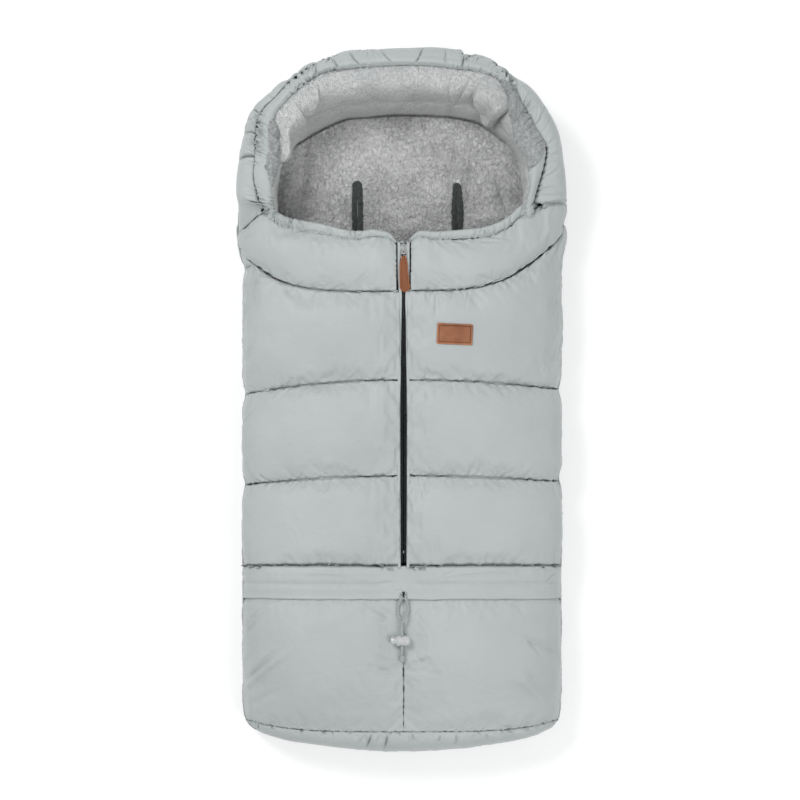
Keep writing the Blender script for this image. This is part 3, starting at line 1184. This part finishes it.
def hood_facing(word, stops, shares):
    """The fleece side of the channel, where it rolls outwards over the inner edge."""
    angle = np.linspace(stops[0], stops[-1], 420)
    fade = smooth(stops[0], stops[0] + 3, angle) * smooth(stops[-1], stops[-1] - 3, angle)
    ragged = 0.05 * noise(np.radians(angle) * ARC_R / 0.006, 0.4, 460) * (word == "left")
    share = np.clip(curve(angle, stops, shares) + ragged, 0.03, 0.99)
    u = np.linspace(0, 1, 34)[:, None]
    points = casing_surface(angle, 1 - share * (1 - u))
    normal = grid_normals(points)
    normal *= np.sign(normal[..., 2:]) + (normal[..., 2:] == 0)
    swell = 0.0014 + 0.0024 * np.sin(pi * u) ** 0.6 + 0.0012 * noise(np.radians(angle) / 0.05, u * 1.6, 452)
    points = points + (swell * fade)[..., None] * normal - (0, 0, 0.0008)
    edge = points[0] - (0, 0, 0.0025)
    tuck = points[-1] - (0, 0, 0.0090)
    rows = np.concatenate([edge[None], points, tuck[None]])
    made = grid_object(f"hood_facing_{word}", rows, thickness=0.0008)
    oriented(made, (0, HOOD_Y, -0.4))
    return finish_piece(made, "bag", FACING_FLEECE)


def hood_elastic():
    """The flat elastic that lies loose in the channel."""
    angle = np.linspace(4, 176, 300)
    middle = casing_surface(angle, np.full((1, 1), 0.62))[0] - (0, 0, 0.0062)
    out = polar(angle, 1.0, 0.0) - polar(angle, 0.0, 0.0)
    section = ((-0.004, 0), (0.004, 0), (0.004, 0.0011), (-0.004, 0.0011))
    rows = [middle + out * wide + (0, 0, rise) for wide, rise in section]
    made = grid_object("elastic_band", np.stack(rows + rows[:1], axis=1))
    cap_ends(made, len(angle), 5, 4)
    return finish_piece(made, "bag", ELASTIC, ("hood_elastic",))


# Soft bulges of the fleece wall: angle, half-width, height; and its creases: angle, lean, depth
WALL_BULGES = ((68, 6, 0.004), (88, 8, 0.003), (106, 5, 0.004))
WALL_CREASES = ((29.0, 5, 0.006), (114.0, 0, 0.0040), (134.0, 3, 0.010), (111.0, 1, 0.0030))


def wall_lobes(angle, t):
    """Loose folds of the wall that hang over each other: two in the left corner and one in the right."""
    edge = curve(angle, (24, 30, 35, 41, 45, 46.5, 48.5), (0.30, 0.55, 0.74, 0.88, 0.74, 0.52, -0.1))
    near = smooth(edge + 0.03, edge - 0.09, t) - 0.4 * bell(t - edge - 0.09, 0.07)
    first = 0.019 * near * smooth(22, 32, angle) * (0.7 + 0.3 * np.sin(pi * np.clip(t / 0.9, 0, 1)))
    turn = curve(t, (0, 0.42, 0.5, 0.6), (59.1, 53.8, 51.0, 47.0))
    second = 0.010 * smooth(turn + 0.7, turn - 1.3, angle) * smooth(0.60, 0.46, t) * smooth(40, 48, angle)
    turn = curve(t, (0, 0.3, 0.56, 0.79, 1), (118.5, 119.2, 120.9, 126.2, 131.0))
    third = 0.014 * smooth(turn - 0.7, turn + 1.5, angle) * smooth(134, 130.5, angle) * smooth(1.0, 0.80, t)
    return np.maximum(first, second) + third


def hood_fleece():
    """The fleece wall inside the hood: a soft fold that overhangs a lower strip and tucks in at the floor."""
    angle = np.linspace(-1, 181, 900)
    t = np.linspace(0, 1, 80)[:, None]
    inner, floor = curve(angle, *INNER) + 0.0006, curve(angle, *FLOOR)
    top, low = rim_z(angle) - 0.0105, FLOOR_Z + 0.009
    arc = np.radians(angle) * 0.19
    head = smooth(40, 60, angle) * smooth(140, 118, angle)
    radius = mix(inner, floor, t)
    z = top - (top - low) * t ** mix(1.2, 2.5, head)
    brow = mix(0.60, 0.76, head) + 0.03 * noise(arc / 0.06, 0.5, 446)
    puffy = np.where(t < brow, np.sin(pi * np.clip(t / brow, 0, 1)) ** 0.7,
                     0.50 * np.sin(pi * np.clip((t - brow) / (1 - brow), 0, 1)) ** 0.8)
    lift = mix(0.006, 0.0085, head) * puffy - 0.0030 * bell(t - brow, 0.02) * head
    lift = lift + 0.0030 * noise(arc / 0.050, t * 1.5, 440) * np.sin(pi * t) ** 0.7
    for at, width, height in WALL_BULGES:
        lift = lift + height * bell(angle - at, width) * np.sin(pi * np.clip(t * 1.15, 0, 1)) ** 0.8
    for at, lean, depth in WALL_CREASES:
        off = angle - at - lean * (t - 0.5) - 1.6 * np.sin(pi * t + at)
        lift = lift - depth * np.exp(-np.abs(off) / 0.6) * np.sin(pi * np.clip(t, 0, 1)) ** 0.5
    lift = lift + 0.0012 * noise(arc / 0.018, t * 4, 445) * np.sin(pi * t) ** 0.5
    lift = lift + wall_lobes(angle, t) * smooth(0.0, 0.24, t)
    points = polar(angle, radius - 0.66 * lift, z + 0.66 * lift)
    under = np.linspace(0, 1, 8)[1:, None]
    tuck = polar(angle, floor + 0.012 * np.sin(under * pi / 2), low - (low - FLOOR_Z + 0.003) * under)
    made = grid_object("hood_fleece", np.concatenate([points, tuck]), thickness=FLEECE_T)
    oriented(made, (0, HOOD_Y, 0.3), -1)
    return finish_piece(made, "bag", WALL_FLEECE, ("hood_lining",))


# Back: fleece floor, outer shell and the harness slots

SLOTS = (("harness_slot_binding_left", -0.0575, 0.152, 0.280),
         ("harness_slot_binding_right", 0.0715, 0.150, 0.278),
         ("crotch_slot_binding", 0.0, -0.090, -0.030))
SLOT_HALF = 0.0030
LEAF = ((1.0, 1.0, 0.95, 0.9), (0.75, 0.9, 1.1, 0.6), (1.0, 1.0, 1.0, 1.0))


def floor_half(y):
    body = np.minimum(half_width(-1, y), half_width(1, y)) - 0.002
    up = np.clip((y - HOOD_Y) / 0.2135, 0, 0.9999)
    return np.where(y > HOOD_Y, 0.2085 * (1 - up**2.5) ** (1 / 2.5), body)


def inside_slot(x, y, grow):
    hit = np.zeros(np.broadcast(x, y).shape, bool)
    for _, centre, low, high in SLOTS:
        dy = np.maximum(np.maximum(low + SLOT_HALF - y, y - high + SLOT_HALF), 0)
        hit |= np.hypot(x - centre, dy) < SLOT_HALF + grow
    return hit


def fleece_height(x, y):
    """The floor fleece: low waves, the soft folds in the photograph, and the seam at the foot of the wall."""
    z = 0.0012 * noise(x / 0.060, y / 0.075, 500) + 0.0006 * noise(x / 0.024, y / 0.03, 501)
    ridge = [(-0.146, 0.262, 0.010, 0.050, 0.0065, 0.1), (-0.131, 0.265, 0.006, 0.055, -0.0055, 0.1),
             (0.128, 0.275, 0.008, 0.045, -0.0040, -0.2), (0.112, 0.262, 0.018, 0.040, 0.0050, -0.35),
             (0.088, 0.268, 0.006, 0.045, -0.0036, 0.15), (0.010, 0.222, 0.030, 0.009, 0.0040, 0.6),
             (0.100, 0.320, 0.009, 0.030, -0.0030, -0.6), (0.120, 0.236, 0.040, 0.009, 0.0045, 0.8),
             (-0.020, 0.300, 0.060, 0.040, 0.0020, 0.0)]
    for cx, cy, wide, tall, height, lean in ridge:
        u = (x - cx) - lean * (y - cy)
        z = z + height * np.exp(-(u / wide) ** 2 - ((y - cy) / tall) ** 2)
    angle = np.degrees(np.arctan2(y - HOOD_Y, -x))
    sewn = (np.hypot(x, y - HOOD_Y) - curve(angle, *FLOOR) + 0.0012) / 0.0014
    return z - 0.0060 * np.exp(-(sewn**2)) * smooth(24, 34, angle) * smooth(146, 138, angle)


def back_fleece():
    """The fleece floor of the bag, with the harness slots cut out."""
    u = np.sin(np.linspace(-1, 1, 440) * pi / 2 * 0.80) / np.sin(pi / 2 * 0.80)
    y = np.concatenate([np.linspace(-0.436, 0.12, 190), np.linspace(0.122, 0.425, 380)])[:, None]
    x = u * floor_half(y)
    z = FLOOR_Z + (SEAM_Z - 0.0012 - FLOOR_Z) * smooth(0.80, 1.0, np.abs(u)) ** 0.8
    z = z + 0.010 * smooth(-0.415, -0.436, y)
    z = z + fleece_height(x, y) * smooth(1.0, 0.86, np.abs(u))
    points = np.stack(np.broadcast_arrays(x, y, z), axis=-1)
    made = grid_object("back_fleece", points)
    oriented(made, (0, 0, -0.5))
    without_faces(made, lambda spot: inside_slot(spot.x, spot.y, 0.0022))
    thicken(made, FLEECE_T)
    return finish_piece(made, "bag", FLOOR_FLEECE, ("back_lining", "back_wadding"))


def outline_loop():
    """Plan of the bag's edge at the height of its seam, from the left joint over the hood and back."""
    angle = np.linspace(0, 180, 190)
    hood = polar(angle, base_radius(angle), SEAM_Z)
    y = np.linspace(HOOD_Y - 0.004, END_AT[-3], 190)
    right = np.stack([half_width(1, y), y, np.full_like(y, SEAM_Z)], axis=-1)
    left = np.stack([-half_width(-1, y), y, np.full_like(y, SEAM_Z)], axis=-1)
    x = np.linspace(right[-1, 0], left[-1, 0], 110)[1:-1]
    bottom = np.stack([x, end_y(x), np.full_like(x, SEAM_Z)], axis=-1)
    return np.concatenate([hood, right, bottom, left[::-1]])


# Height, and how far the back's cloth lies in from the seam, from the seam down to the base
SIDE_ROLL = ((SEAM_Z + 0.0005, 0.0008), (0.0335, -0.0010), (0.030, -0.0020), (0.025, -0.0022),
             (0.019, -0.0018), (0.013, -0.0006), (0.008, 0.0016), (0.0045, 0.0046), (0.0018, 0.0088),
             (0.0005, 0.0140), (0.0, 0.0210), (0.0, 0.0300))


def turn_down(work):
    """Turns the faces of the base that look up."""
    bmesh.ops.reverse_faces(work, faces=[f for f in work.faces if f.normal.z > 0.5])


def back_shell():
    """Outer cloth of the back: its lightly rippled side wall rolls under to a flat base."""
    loop = outline_loop()
    centre = np.array([0, 0.0, 0])
    tangent = np.roll(loop, -1, axis=0) - np.roll(loop, 1, axis=0)
    inward = np.stack([tangent[:, 1], -tangent[:, 0], np.zeros(len(loop))], axis=-1)
    inward /= np.maximum(np.linalg.norm(inward, axis=-1, keepdims=True), 1e-9)
    inward *= np.where((inward * (centre - loop)).sum(-1, keepdims=True) < 0, -1, 1)
    length = np.concatenate([[0], np.cumsum(np.linalg.norm(np.diff(loop, axis=0), axis=-1))])
    ripple = 0.0012 * noise(length / 0.030, 0.5, 520) + 0.0008 * ridges(length / 0.011, 0.3, 521)
    rows = []
    for z, inset in SIDE_ROLL:
        share = np.sin(pi * np.clip((SEAM_Z - z) / SEAM_Z, 0, 1))
        row = loop + inward * (inset - ripple * share)[:, None]
        row[:, 2] = z
        rows.append(row)
    points = np.stack(rows)
    made = grid_object("back_shell", points, ring=True)
    close_base(made, len(rows), len(loop))
    made.data.shade_smooth()
    oriented(made, (0, 0, 0.3))
    reworked(made, turn_down)
    thicken(made, SHELL_T)
    return finish_piece(made, "bag", SHELL, ("back_outer_panel",))


def close_base(made, rows, count):
    """Fills the flat base inside the last loop, leaving the harness slots open."""
    work = bmesh.new()
    work.from_mesh(made.data)
    work.verts.ensure_lookup_table()
    rim = [work.verts[(rows - 1) * count + k] for k in range(count)]
    plan = [Vector((v.co.x, v.co.y)) for v in rim]
    edges = [(k, (k + 1) % count) for k in range(count)]
    grid = [(x, y) for x in np.linspace(-0.16, 0.16, 17) for y in np.linspace(-0.39, 0.38, 39)]
    plan += [Vector(spot) for spot in grid if not inside_slot(spot[0], spot[1], 0.008)]
    for _, x, low, high in SLOTS:
        first = len(plan)
        ring = racetrack(x, low, high, SLOT_HALF + 0.0030)
        plan += [Vector(spot) for spot in ring]
        edges += [(first + k, first + (k + 1) % len(ring)) for k in range(len(ring))]
    flat, _, faces, old, _, _ = delaunay_2d_cdt(plan, edges, [], 0, 1e-6)
    spots = [rim[old[k][0]] if old[k] and old[k][0] < count else work.verts.new((v.x, v.y, 0.0))
             for k, v in enumerate(flat)]
    half = [abs(v.co.x) for v in rim]
    for face in faces:
        middle = sum((flat[k] for k in face), Vector((0, 0))) / len(face)
        if all(old[k] and old[k][0] < count for k in face) and max(half) - abs(middle.x) < 0.004:
            continue
        if not inside_slot(middle.x, middle.y, 0.0029):
            work.faces.new([spots[k] for k in face])
    bmesh.ops.recalc_face_normals(work, faces=work.faces)
    work.to_mesh(made.data)
    work.free()


def racetrack(x, low, high, half, steps=10):
    """A slot's outline: two straight sides and two half rounds."""
    points = []
    for centre, start in ((high - SLOT_HALF, 0.0), (low + SLOT_HALF, pi)):
        for k in range(steps + 1):
            turn = start + pi * k / steps
            points.append((x + half * cos(turn), centre + half * sin(turn)))
    return points


# Section of the slot's tape: how far out it lies, and its height over the floor; None is at the fleece,
# and from 0.5 up or -0.5 down it is a share of the fold over the fleece
TAPE_SECTION = ((0.0004, 0.0004), (0.0042, 0.0005), (0.0044, 0.006), (0.0044, None), (0.0038, 0.9),
                (0.0026, 1.0), (0.0012, 0.92), (0.0002, 0.55), (-0.0006, -0.6), (0.0004, 0.006))


def join_seam(work):
    bmesh.ops.remove_doubles(work, verts=work.verts, dist=1e-6)
    bmesh.ops.recalc_face_normals(work, faces=work.faces)


def slot_bindings():
    """Folded tape round each slot, from under the back to just above the fleece."""
    for k, (node, x, low, high) in enumerate(SLOTS):
        straight = np.linspace(low + SLOT_HALF, high - SLOT_HALF, 60)
        around = np.linspace(0, pi, 16)
        right_side = [(SLOT_HALF, y, 1.0, 0.0) for y in straight]
        head = [(SLOT_HALF * cos(a), high - SLOT_HALF + SLOT_HALF * sin(a), cos(a), sin(a))
                for a in around[1:-1]]
        left_side = [(-SLOT_HALF, y, -1.0, 0.0) for y in straight[::-1]]
        foot = [(SLOT_HALF * cos(a), low + SLOT_HALF + SLOT_HALF * sin(a), cos(a), sin(a))
                for a in around[1:-1] + pi]
        path = np.array(right_side + head + left_side + foot)
        run = np.cumsum(np.linalg.norm(np.roll(path[:, :2], -1, axis=0) - path[:, :2], axis=1))
        fray = 0.0008 * noise(run / 0.004, 0.3, 540 + k) + 0.0006 * noise(run / 0.0017, 0.7, 545 + k)
        lean = 0.0008 * noise(run / 0.05, 0.3, 550 + k)
        share = (path[:, 1] - low) / (high - low)
        leaf = curve(share, *((0, 0.5, 0.82, 1), LEAF[k]))
        rows = []
        base = FLOOR_Z + fleece_height(x + path[:, 0], path[:, 1])
        for out, z in TAPE_SECTION:
            if z is None:
                height = base - 0.0005
            elif abs(z) >= 0.5:
                height = base + 0.0024 * z + 0.5 * fray
            else:
                height = np.full(len(path), z)
            wide = out + fray * (out > 0.001)
            closed = 0.03 if out < 0.001 and (z is None or z != 0.0004) else 1.0
            across = (path[:, 0] + path[:, 2] * wide * leaf) * closed + lean
            rows.append(np.stack([x + across, path[:, 1] + path[:, 3] * wide, height], axis=-1))
        made = grid_object(f"slot_tape_{k}", np.stack(rows + [rows[0]]), ring=True)
        reworked(made, join_seam)
        finish_piece(made, "bag", BINDING, (node,))


# Zip, slider and tab


def strip(name, section, y_values, body, material, replaced=(), wobble=0.0, seed=0, leans=None):
    """A long piece along the zip from a closed (x, z) section."""
    rows = []
    for y in y_values:
        shift = wobble * float(noise(y / 0.03, 0.5, seed)) + (float(leans(y)) if leans else 0.0)
        rows.append([(ZIP_X + x + shift, y, z) for x, z in section])
    made = grid_object(name, np.array(rows), ring=True)
    cap_ends(made, len(y_values), len(section), len(section))
    return finish_piece(made, body, material, replaced)


TAPE_TOP_Z = CREST_Z + 0.00015 - 0.0015


def zip_parts():
    y = np.linspace(-0.206, 0.2015, 220)
    for side, word in ((-1, "left"), (1, "right")):
        body = front_blend(word)
        top = TAPE_TOP_Z
        section = [(side * x, z) for x, z in (
            (0.0005, top - 0.0004), (0.0006, top - 0.0001), (0.0012, top + 0.0001), (0.0040, top),
            (0.0150, top - 0.0002), (0.0150, top - 0.0008), (0.0040, top - 0.0006), (0.0010, top - 0.0006))]
        strip(f"zip_tape_visual_{word}", section, y, body, ZIP_TAPE, (f"zip_tape_{word}",))
        coil(side, word, body)
        edge = np.linspace(-0.2125, 0.2020, 210)
        fold_z = CREST_Z + 0.0003
        section = [(side * (STRIP_IN + x), fold_z + z) for x, z in (
            (0.0004, -0.0012), (0.0, -0.0002), (0.0005, 0.0008), (0.0018, 0.0011), (0.0034, 0.0007),
            (0.0042, -0.0002), (0.0030, -0.0012))]

        def lean(y, side=side):
            return -side * curve(y, (-0.21, 0.03, 0.09, 0.139, 0.160, 0.1985), (0, 0, 0.0008, 0.0015, 0, 0))

        strip(f"zip_fold_{word}", section, edge, body, SHELL, (), 0.00025, 600 + side, lean)


def coil(side, word, body):
    """One row of coil teeth: a flattened helix sewn under its tape."""
    pitch, low, high = 0.0013, -0.1900, 0.2000
    turns = int((high - low) / pitch)
    steps = 8
    turn = np.linspace(0, turns * tau, turns * steps)
    x = side * (0.0022 + 0.0012 * np.cos(turn))
    z = TAPE_TOP_Z - 0.0018 + 0.0008 * np.sin(turn)
    y = np.linspace(low, high, len(turn))
    made = wire(f"zip_coil_visual_{word}", zip(ZIP_X + x, y, z), 0.00035)
    finish_piece(made, body, ZIP_TAPE, (f"zip_coil_{word}",))


def round_curve(name, points, radius, resolution):
    """A round tube through the points."""
    points = list(points)
    data = bpy.data.curves.new(name, "CURVE")
    data.dimensions = "3D"
    spline = data.splines.new("POLY")
    spline.points.add(len(points) - 1)
    for point, place in zip(spline.points, points):
        point.co = (*place, 1)
    data.bevel_depth, data.bevel_resolution, data.use_fill_caps = radius, resolution, True
    return data


def wire(name, points, radius):
    """A round wire through the points, as a mesh."""
    return to_mesh(round_curve(name, points, radius, 1), name)


def lock_spring():
    """The coil behind the plunger, which shortens as the plunger goes in."""
    turn = np.linspace(0, 3 * tau, 61)
    x = LOCK_X + np.linspace(0.00425, 0.00835, 61)
    mean, half_wire = 0.0033, 0.00035
    path = zip(x, LOCK_Y + mean * np.cos(turn), LOCK_Z + mean * np.sin(turn))
    made = wire("lock_spring", path, half_wire)
    finish_piece(made, "lock", NICKEL, ("cord_lock_spring",))
    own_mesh(made)


def to_mesh(curve_data, name):
    holder = placed("curve_try", curve_data)
    mesh = bpy.data.meshes.new_from_object(holder.evaluated_get(bpy.context.evaluated_depsgraph_get()))
    bpy.data.objects.remove(holder, do_unlink=True)
    mesh.shade_smooth()
    return placed(name, mesh)


PULL_Z = CREST_Z + 0.00015 + 0.0023
TAB_TOP_Y, TAB_END_Y = 0.1845, 0.1388


def tab_outline(count=28):
    """Half-widths of the leather tab down its length, then its round end."""
    neck, top_half, end_half = 0.0030, 0.0050, 0.0065
    rows = []
    for k in range(count):
        t = k / (count - 1)
        y = mix(TAB_TOP_Y, TAB_END_Y + end_half, t)
        halves = (neck, neck * 1.1, top_half * 0.94, top_half, end_half)
        rows.append((float(curve(t, (0, 0.10, 0.20, 0.30, 1.0), halves)), y))
    for k in range(1, 10):
        turn = k / 9 * pi / 2 * 0.97
        rows.append((end_half * cos(turn), TAB_END_Y + end_half - end_half * sin(turn)))
    return rows


def worn(made, values):
    """Stores how worn or pressed the leather is at each point, from -1, pressed dark, to 1, rubbed pale."""
    made.data.attributes.new(WEAR, "FLOAT", "POINT").data.foreach_set("value", values.reshape(-1))


def tab():
    """The leather tab on the puller: a rounded pale edge, a pressed line inside it and a slight bend."""
    thick, groove, across = 0.0024, 0.00035, 30
    u = np.sin(np.linspace(-1, 1, across) * pi / 2)
    grid, wear = [], []
    for half, y in tab_outline():
        edge = np.minimum(half * (1 - np.abs(u)), y - TAB_END_Y)
        bend = 0.0009 * np.sin((y - TAB_END_Y) * 60) + 0.0003 * (u * half / 0.006) ** 2
        z = PULL_Z + thick / 2 - 0.0009 * np.exp(-edge / 0.00035) + bend
        z = z - groove * bell(edge - 0.0013, 0.00028)
        x = ZIP_X + u * half + 0.0016 * smooth(0.17, 0.14, y)
        grid.append(np.stack([x, np.full(across, y), z], axis=-1))
        wear.append(bell(edge, 0.0009) - 0.3 * bell(edge - 0.0020, 0.0006))
    made = grid_object("leather_tab", np.array(grid), thickness=thick)
    worn(made, np.array(wear))
    oriented(made, (ZIP_X, 0.16, 0))
    return finish_piece(made, "pull", TAB_TAN, ("zip_pull_tab",))


def label():
    """Plain leather label: a pressed line inside its edge, its upper left corner slightly lifted."""
    wide, high, thick = 0.0455, 0.0265, 0.0013
    columns, rows = 120, 76
    u = np.linspace(-1, 1, columns)
    v = np.linspace(-1, 1, rows)[:, None]
    turn = radians(-2.5)
    x = u * wide / 2 + 0 * v
    y = v * high / 2 + 0 * u
    corner = 0.0012
    pull = (np.clip((np.abs(x) - (wide / 2 - corner)) / corner, 0, 1)
            * np.clip((np.abs(y) - (high / 2 - corner)) / corner, 0, 1))
    x, y = x * (1 - 0.03 * pull), y * (1 - 0.05 * pull)
    px = LABEL_X + x * cos(turn) - y * sin(turn)
    py = LABEL_Y + x * sin(turn) + y * cos(turn)
    surface = shell_height(px, py)
    edge = np.minimum(wide / 2 - np.abs(x), high / 2 - np.abs(y))
    z = surface + thick + 0.0005 - 0.0007 * np.exp(-edge / 0.00035)
    z = z - 0.00055 * bell(edge - 0.0027, 0.00045)
    z = z + 0.0018 * smooth(0.4, 1.0, -u) * smooth(0.2, 1.0, v)
    points = np.stack([px, py, z], axis=-1)
    made = grid_object("leather_label", points, thickness=thick)
    left_or_low = np.maximum(smooth(0.6, 0.95, -u), smooth(0.5, 0.9, -v))
    worn(made, (0.15 + 0.45 * left_or_low) * smooth(0.0022, 0.0012, edge)
         - 0.75 * bell(edge - 0.0028, 0.0006) * (1 - 0.4 * left_or_low))
    oriented(made, (LABEL_X, LABEL_Y, 0))
    return finish_piece(made, "right_flap", LABEL_TAN, ("label_patch",))


def shell_height(x, y):
    """Smoothed height of the right front shell under a grid of points."""
    shell = bpy.data.objects["front_shell_right"].data
    tree = BVHTree.FromPolygons([v.co for v in shell.vertices], [tuple(f.vertices) for f in shell.polygons])
    rows, columns = x.shape
    z = np.zeros(x.shape)
    for j in range(rows):
        for i in range(columns):
            z[j, i] = tree.ray_cast(Vector((x[j, i], y[j, i], 1.0)), Vector((0, 0, -1)))[0].z
    u, v = np.meshgrid(np.linspace(-1, 1, columns), np.linspace(-1, 1, rows))
    terms = np.stack([np.ones_like(u), u, v, u * u, v * v, u * v], axis=-1).reshape(-1, 6)
    fit = np.linalg.lstsq(terms, z.reshape(-1), rcond=None)[0]
    flat = (terms @ fit).reshape(z.shape)
    return flat + max(0.0, float((z - flat).max())) * 0.8


# Drawcord: route points repeated from the part, in metres


def on_front(x, y, depth):
    """A point over the front at a distance x from the zip line; a negative depth is above it."""
    s = min(1.0, abs(x) / BODY_HALF)
    rise = float(crest(y)) - SEAM_Z
    t = max(0.0, 1 - s**CROWN) ** (1 / CROWN)
    nx, nz = s ** (CROWN - 1) / BODY_HALF, t ** (CROWN - 1) / rise
    return Vector((ZIP_X + x, y, SEAM_Z + 0.00015 + rise * t - nz / (nx * nx + nz * nz) ** 0.5 * depth))


def cord_tails():
    """The two cord ends, out of the slit, round their loop and through the lock to the knot."""
    ride = CORD_D / 2 + 0.0012
    routes = {
        "left": [(-0.0023, EXIT_Y - 0.0003, -0.0033), (-0.0034, -0.2515, -0.0042),
                 (-0.0062, -0.2580, -0.0036), (-0.0072, -0.2655, -ride), (-0.0060, -0.2740, -ride - 0.0008)],
        "right": [(0.0023, EXIT_Y - 0.0003, -0.0033), (0.0030, -0.2515, -0.0044), (0.0050, -0.2580, -0.0042),
                  (0.0058, -0.2660, -0.0046), (0.0030, -0.2750, -0.0078)],
    }
    knot_face = KNOT_Y + KNOT_LEN / 2 + CORD_GAP
    for word, side, lift in (("left", -1, LOW_Z), ("right", 1, HIGH_Z)):
        points = [on_front(*spot) for spot in routes[word]]
        points += [Vector((LOCK_X, y, lift)) for y in (-0.2820, -0.2845, LOCK_Y, -0.3176)]
        knot_lift = KNOT_Z + side * (CORD_D / 2 + CORD_GAP)
        points += [Vector((LOCK_X, y, knot_lift)) for y in (knot_face + 0.0015, knot_face)]
        dense = []
        for k in range(len(points) - 1):
            p0, p1, p2 = points[max(0, k - 1)], points[k], points[k + 1]
            p3 = points[min(len(points) - 1, k + 2)]
            steps = max(1, round((p2 - p1).length / 0.0030))
            for n in range(steps):
                t = n / steps
                dense.append(0.5 * ((2 * p1) + (p2 - p0) * t + (2 * p0 - 5 * p1 + 4 * p2 - p3) * t * t
                                    + (3 * p1 - p0 - 3 * p2 + p3) * t * t * t))
        dense.append(points[-1])
        name = f"drawcord_{word}"
        made = placed(name, round_curve(name, dense, CORD_D / 2, 5))
        finish_piece(made, "bag", CORD, (f"drawcord_tail_{word}",))
        [knot_piece()] if word == "left" else ["cord_knot_twist"]


def knot_piece():
    """The knot of both ends, as three fat turns."""
    rings, sides = 60, 20
    t = np.linspace(0, 1, rings)[:, None]
    turn = np.linspace(0, tau, sides, endpoint=False)
    lumps = 0.0009 * np.abs(np.sin(t * 3.0 * pi + turn * 0.5))
    radius = 0.0034 * (0.45 + 0.55 * np.sin(pi * np.clip(t, 0.02, 0.98)) ** 0.45) + lumps - 0.0003
    points = np.stack(np.broadcast_arrays(LOCK_X + radius * np.cos(turn), KNOT_Y + KNOT_LEN * (0.5 - t),
                                          KNOT_Z + radius * np.sin(turn)), axis=-1)
    made = grid_object("cord_knot_twist", points, ring=True)
    cap_ends(made, rings, sides, sides)
    return finish_piece(made, "bag", CORD, ("cord_knot",))


# Stage, light and camera

FLOOR_GLOW = 0.33


def white_floor():
    """Near-white floor: what the camera sees is lifted to white, and the object's shadow stays in it."""
    made = bpy.data.materials.new("white_floor")
    made.use_nodes = True
    tree = made.node_tree
    tree.nodes.remove(tree.nodes["Principled BSDF"])
    add, link = tree.nodes.new, tree.links.new
    matt, glow = add("ShaderNodeBsdfDiffuse"), add("ShaderNodeEmission")
    both, seen = add("ShaderNodeAddShader"), add("ShaderNodeLightPath")
    speck, tint = add("ShaderNodeTexNoise"), add("ShaderNodeValToRGB")
    speck.inputs["Scale"].default_value = 3.0
    tint.color_ramp.elements[0].color = (0.900, 0.905, 0.910, 1)
    tint.color_ramp.elements[1].color = (0.925, 0.928, 0.930, 1)
    rays = add("ShaderNodeMath")
    rays.operation = "MAXIMUM"
    link(speck.outputs["Fac"], tint.inputs["Fac"])
    link(tint.outputs["Color"], matt.inputs["Color"])
    link(seen.outputs["Is Camera Ray"], rays.inputs[0])
    link(seen.outputs["Is Glossy Ray"], rays.inputs[1])
    strength = add("ShaderNodeMath")
    strength.operation = "MULTIPLY"
    strength.inputs[1].default_value = FLOOR_GLOW
    link(rays.outputs[0], strength.inputs[0])
    link(strength.outputs[0], glow.inputs["Strength"])
    link(matt.outputs["BSDF"], both.inputs[0])
    link(glow.outputs["Emission"], both.inputs[1])
    link(both.outputs["Shader"], tree.nodes["Material Output"].inputs["Surface"])
    return made


def stage():
    """A plain pale floor, a soft sky and two large lamps."""
    mesh = bpy.data.meshes.new("floor")
    size = 4.0
    corners = [(-size, -size, 0), (size, -size, 0), (size, size, 0), (-size, size, 0)]
    mesh.from_pydata(corners, [], [(0, 1, 2, 3)])
    floor = placed("floor", mesh)
    floor.data.materials.append(white_floor())
    floor.location.z = -0.0006
    world = bpy.data.worlds.new("soft_sky")
    bpy.context.scene.world = world
    world.use_nodes = True
    background = world.node_tree.nodes["Background"]
    background.inputs["Color"].default_value = (1.0, 1.0, 1.0, 1)
    background.inputs["Strength"].default_value = 0.45
    for name, place, size, power in (("key", (-1.3, 1.3, 2.7), 1.0, 38), ("fill", (1.4, -1.2, 2.8), 1.6, 26)):
        lamp = bpy.data.lights.new(name, "AREA")
        lamp.energy, lamp.size = power, size
        made = placed(name, lamp)
        made.location = place
        made.rotation_euler = (Vector((0, 0, 0)) - Vector(place)).to_track_quat("-Z", "Y").to_euler()


def camera():
    """Straight above, as the photograph."""
    data = bpy.data.cameras.new("photo_camera")
    data.sensor_fit = "HORIZONTAL"
    data.angle = 2 * atan(PICTURE_W / 2 / (EYE_Z - TRUE_Z))
    made = placed("photo_camera", data)
    made.location = (EYE_X, EYE_Y, EYE_Z)
    data.clip_end = 50
    bpy.context.scene.camera = made


def main():
    bpy.context.scene.view_settings.view_transform = "Standard"
    camera()
    cord_tails()
    stage()
    for side, word in ((-1, "left"), (1, "right")):
        front_shell(side, word)
        collar(side, word)
        opening_casing(side, word)
        lining(side, word)
        foot_panel(side, word)
    band()
    end_gusset()
    foot_lining()
    hood_shell()
    hood_casing()
    for facing in FACINGS:
        hood_facing(*facing)
    hood_elastic()
    hood_fleece()
    back_fleece()
    back_shell()
    slot_bindings()
    zip_parts()
    tab()
    label()
    lock_spring()
    dress_nodes()


def dress_nodes():
    """Materials of the solids that show or stay inside as they are."""
    for names, material in ((("zip_slider", "zip_puller_link", "zip_bottom_stop", "zip_top_stop_left",
                              "zip_top_stop_right"), NICKEL),
                            (("cord_lock_body", "cord_lock_plunger"), FROSTED),
                            (("drawcord_run_left", "drawcord_run_right"), CORD)):
        for name in names:
            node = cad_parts[name]
            for index in range(max(1, len(node.material_slots))):
                if node.material_slots:
                    node.material_slots[index].material = material
                else:
                    node.data.materials.append(material)


main()
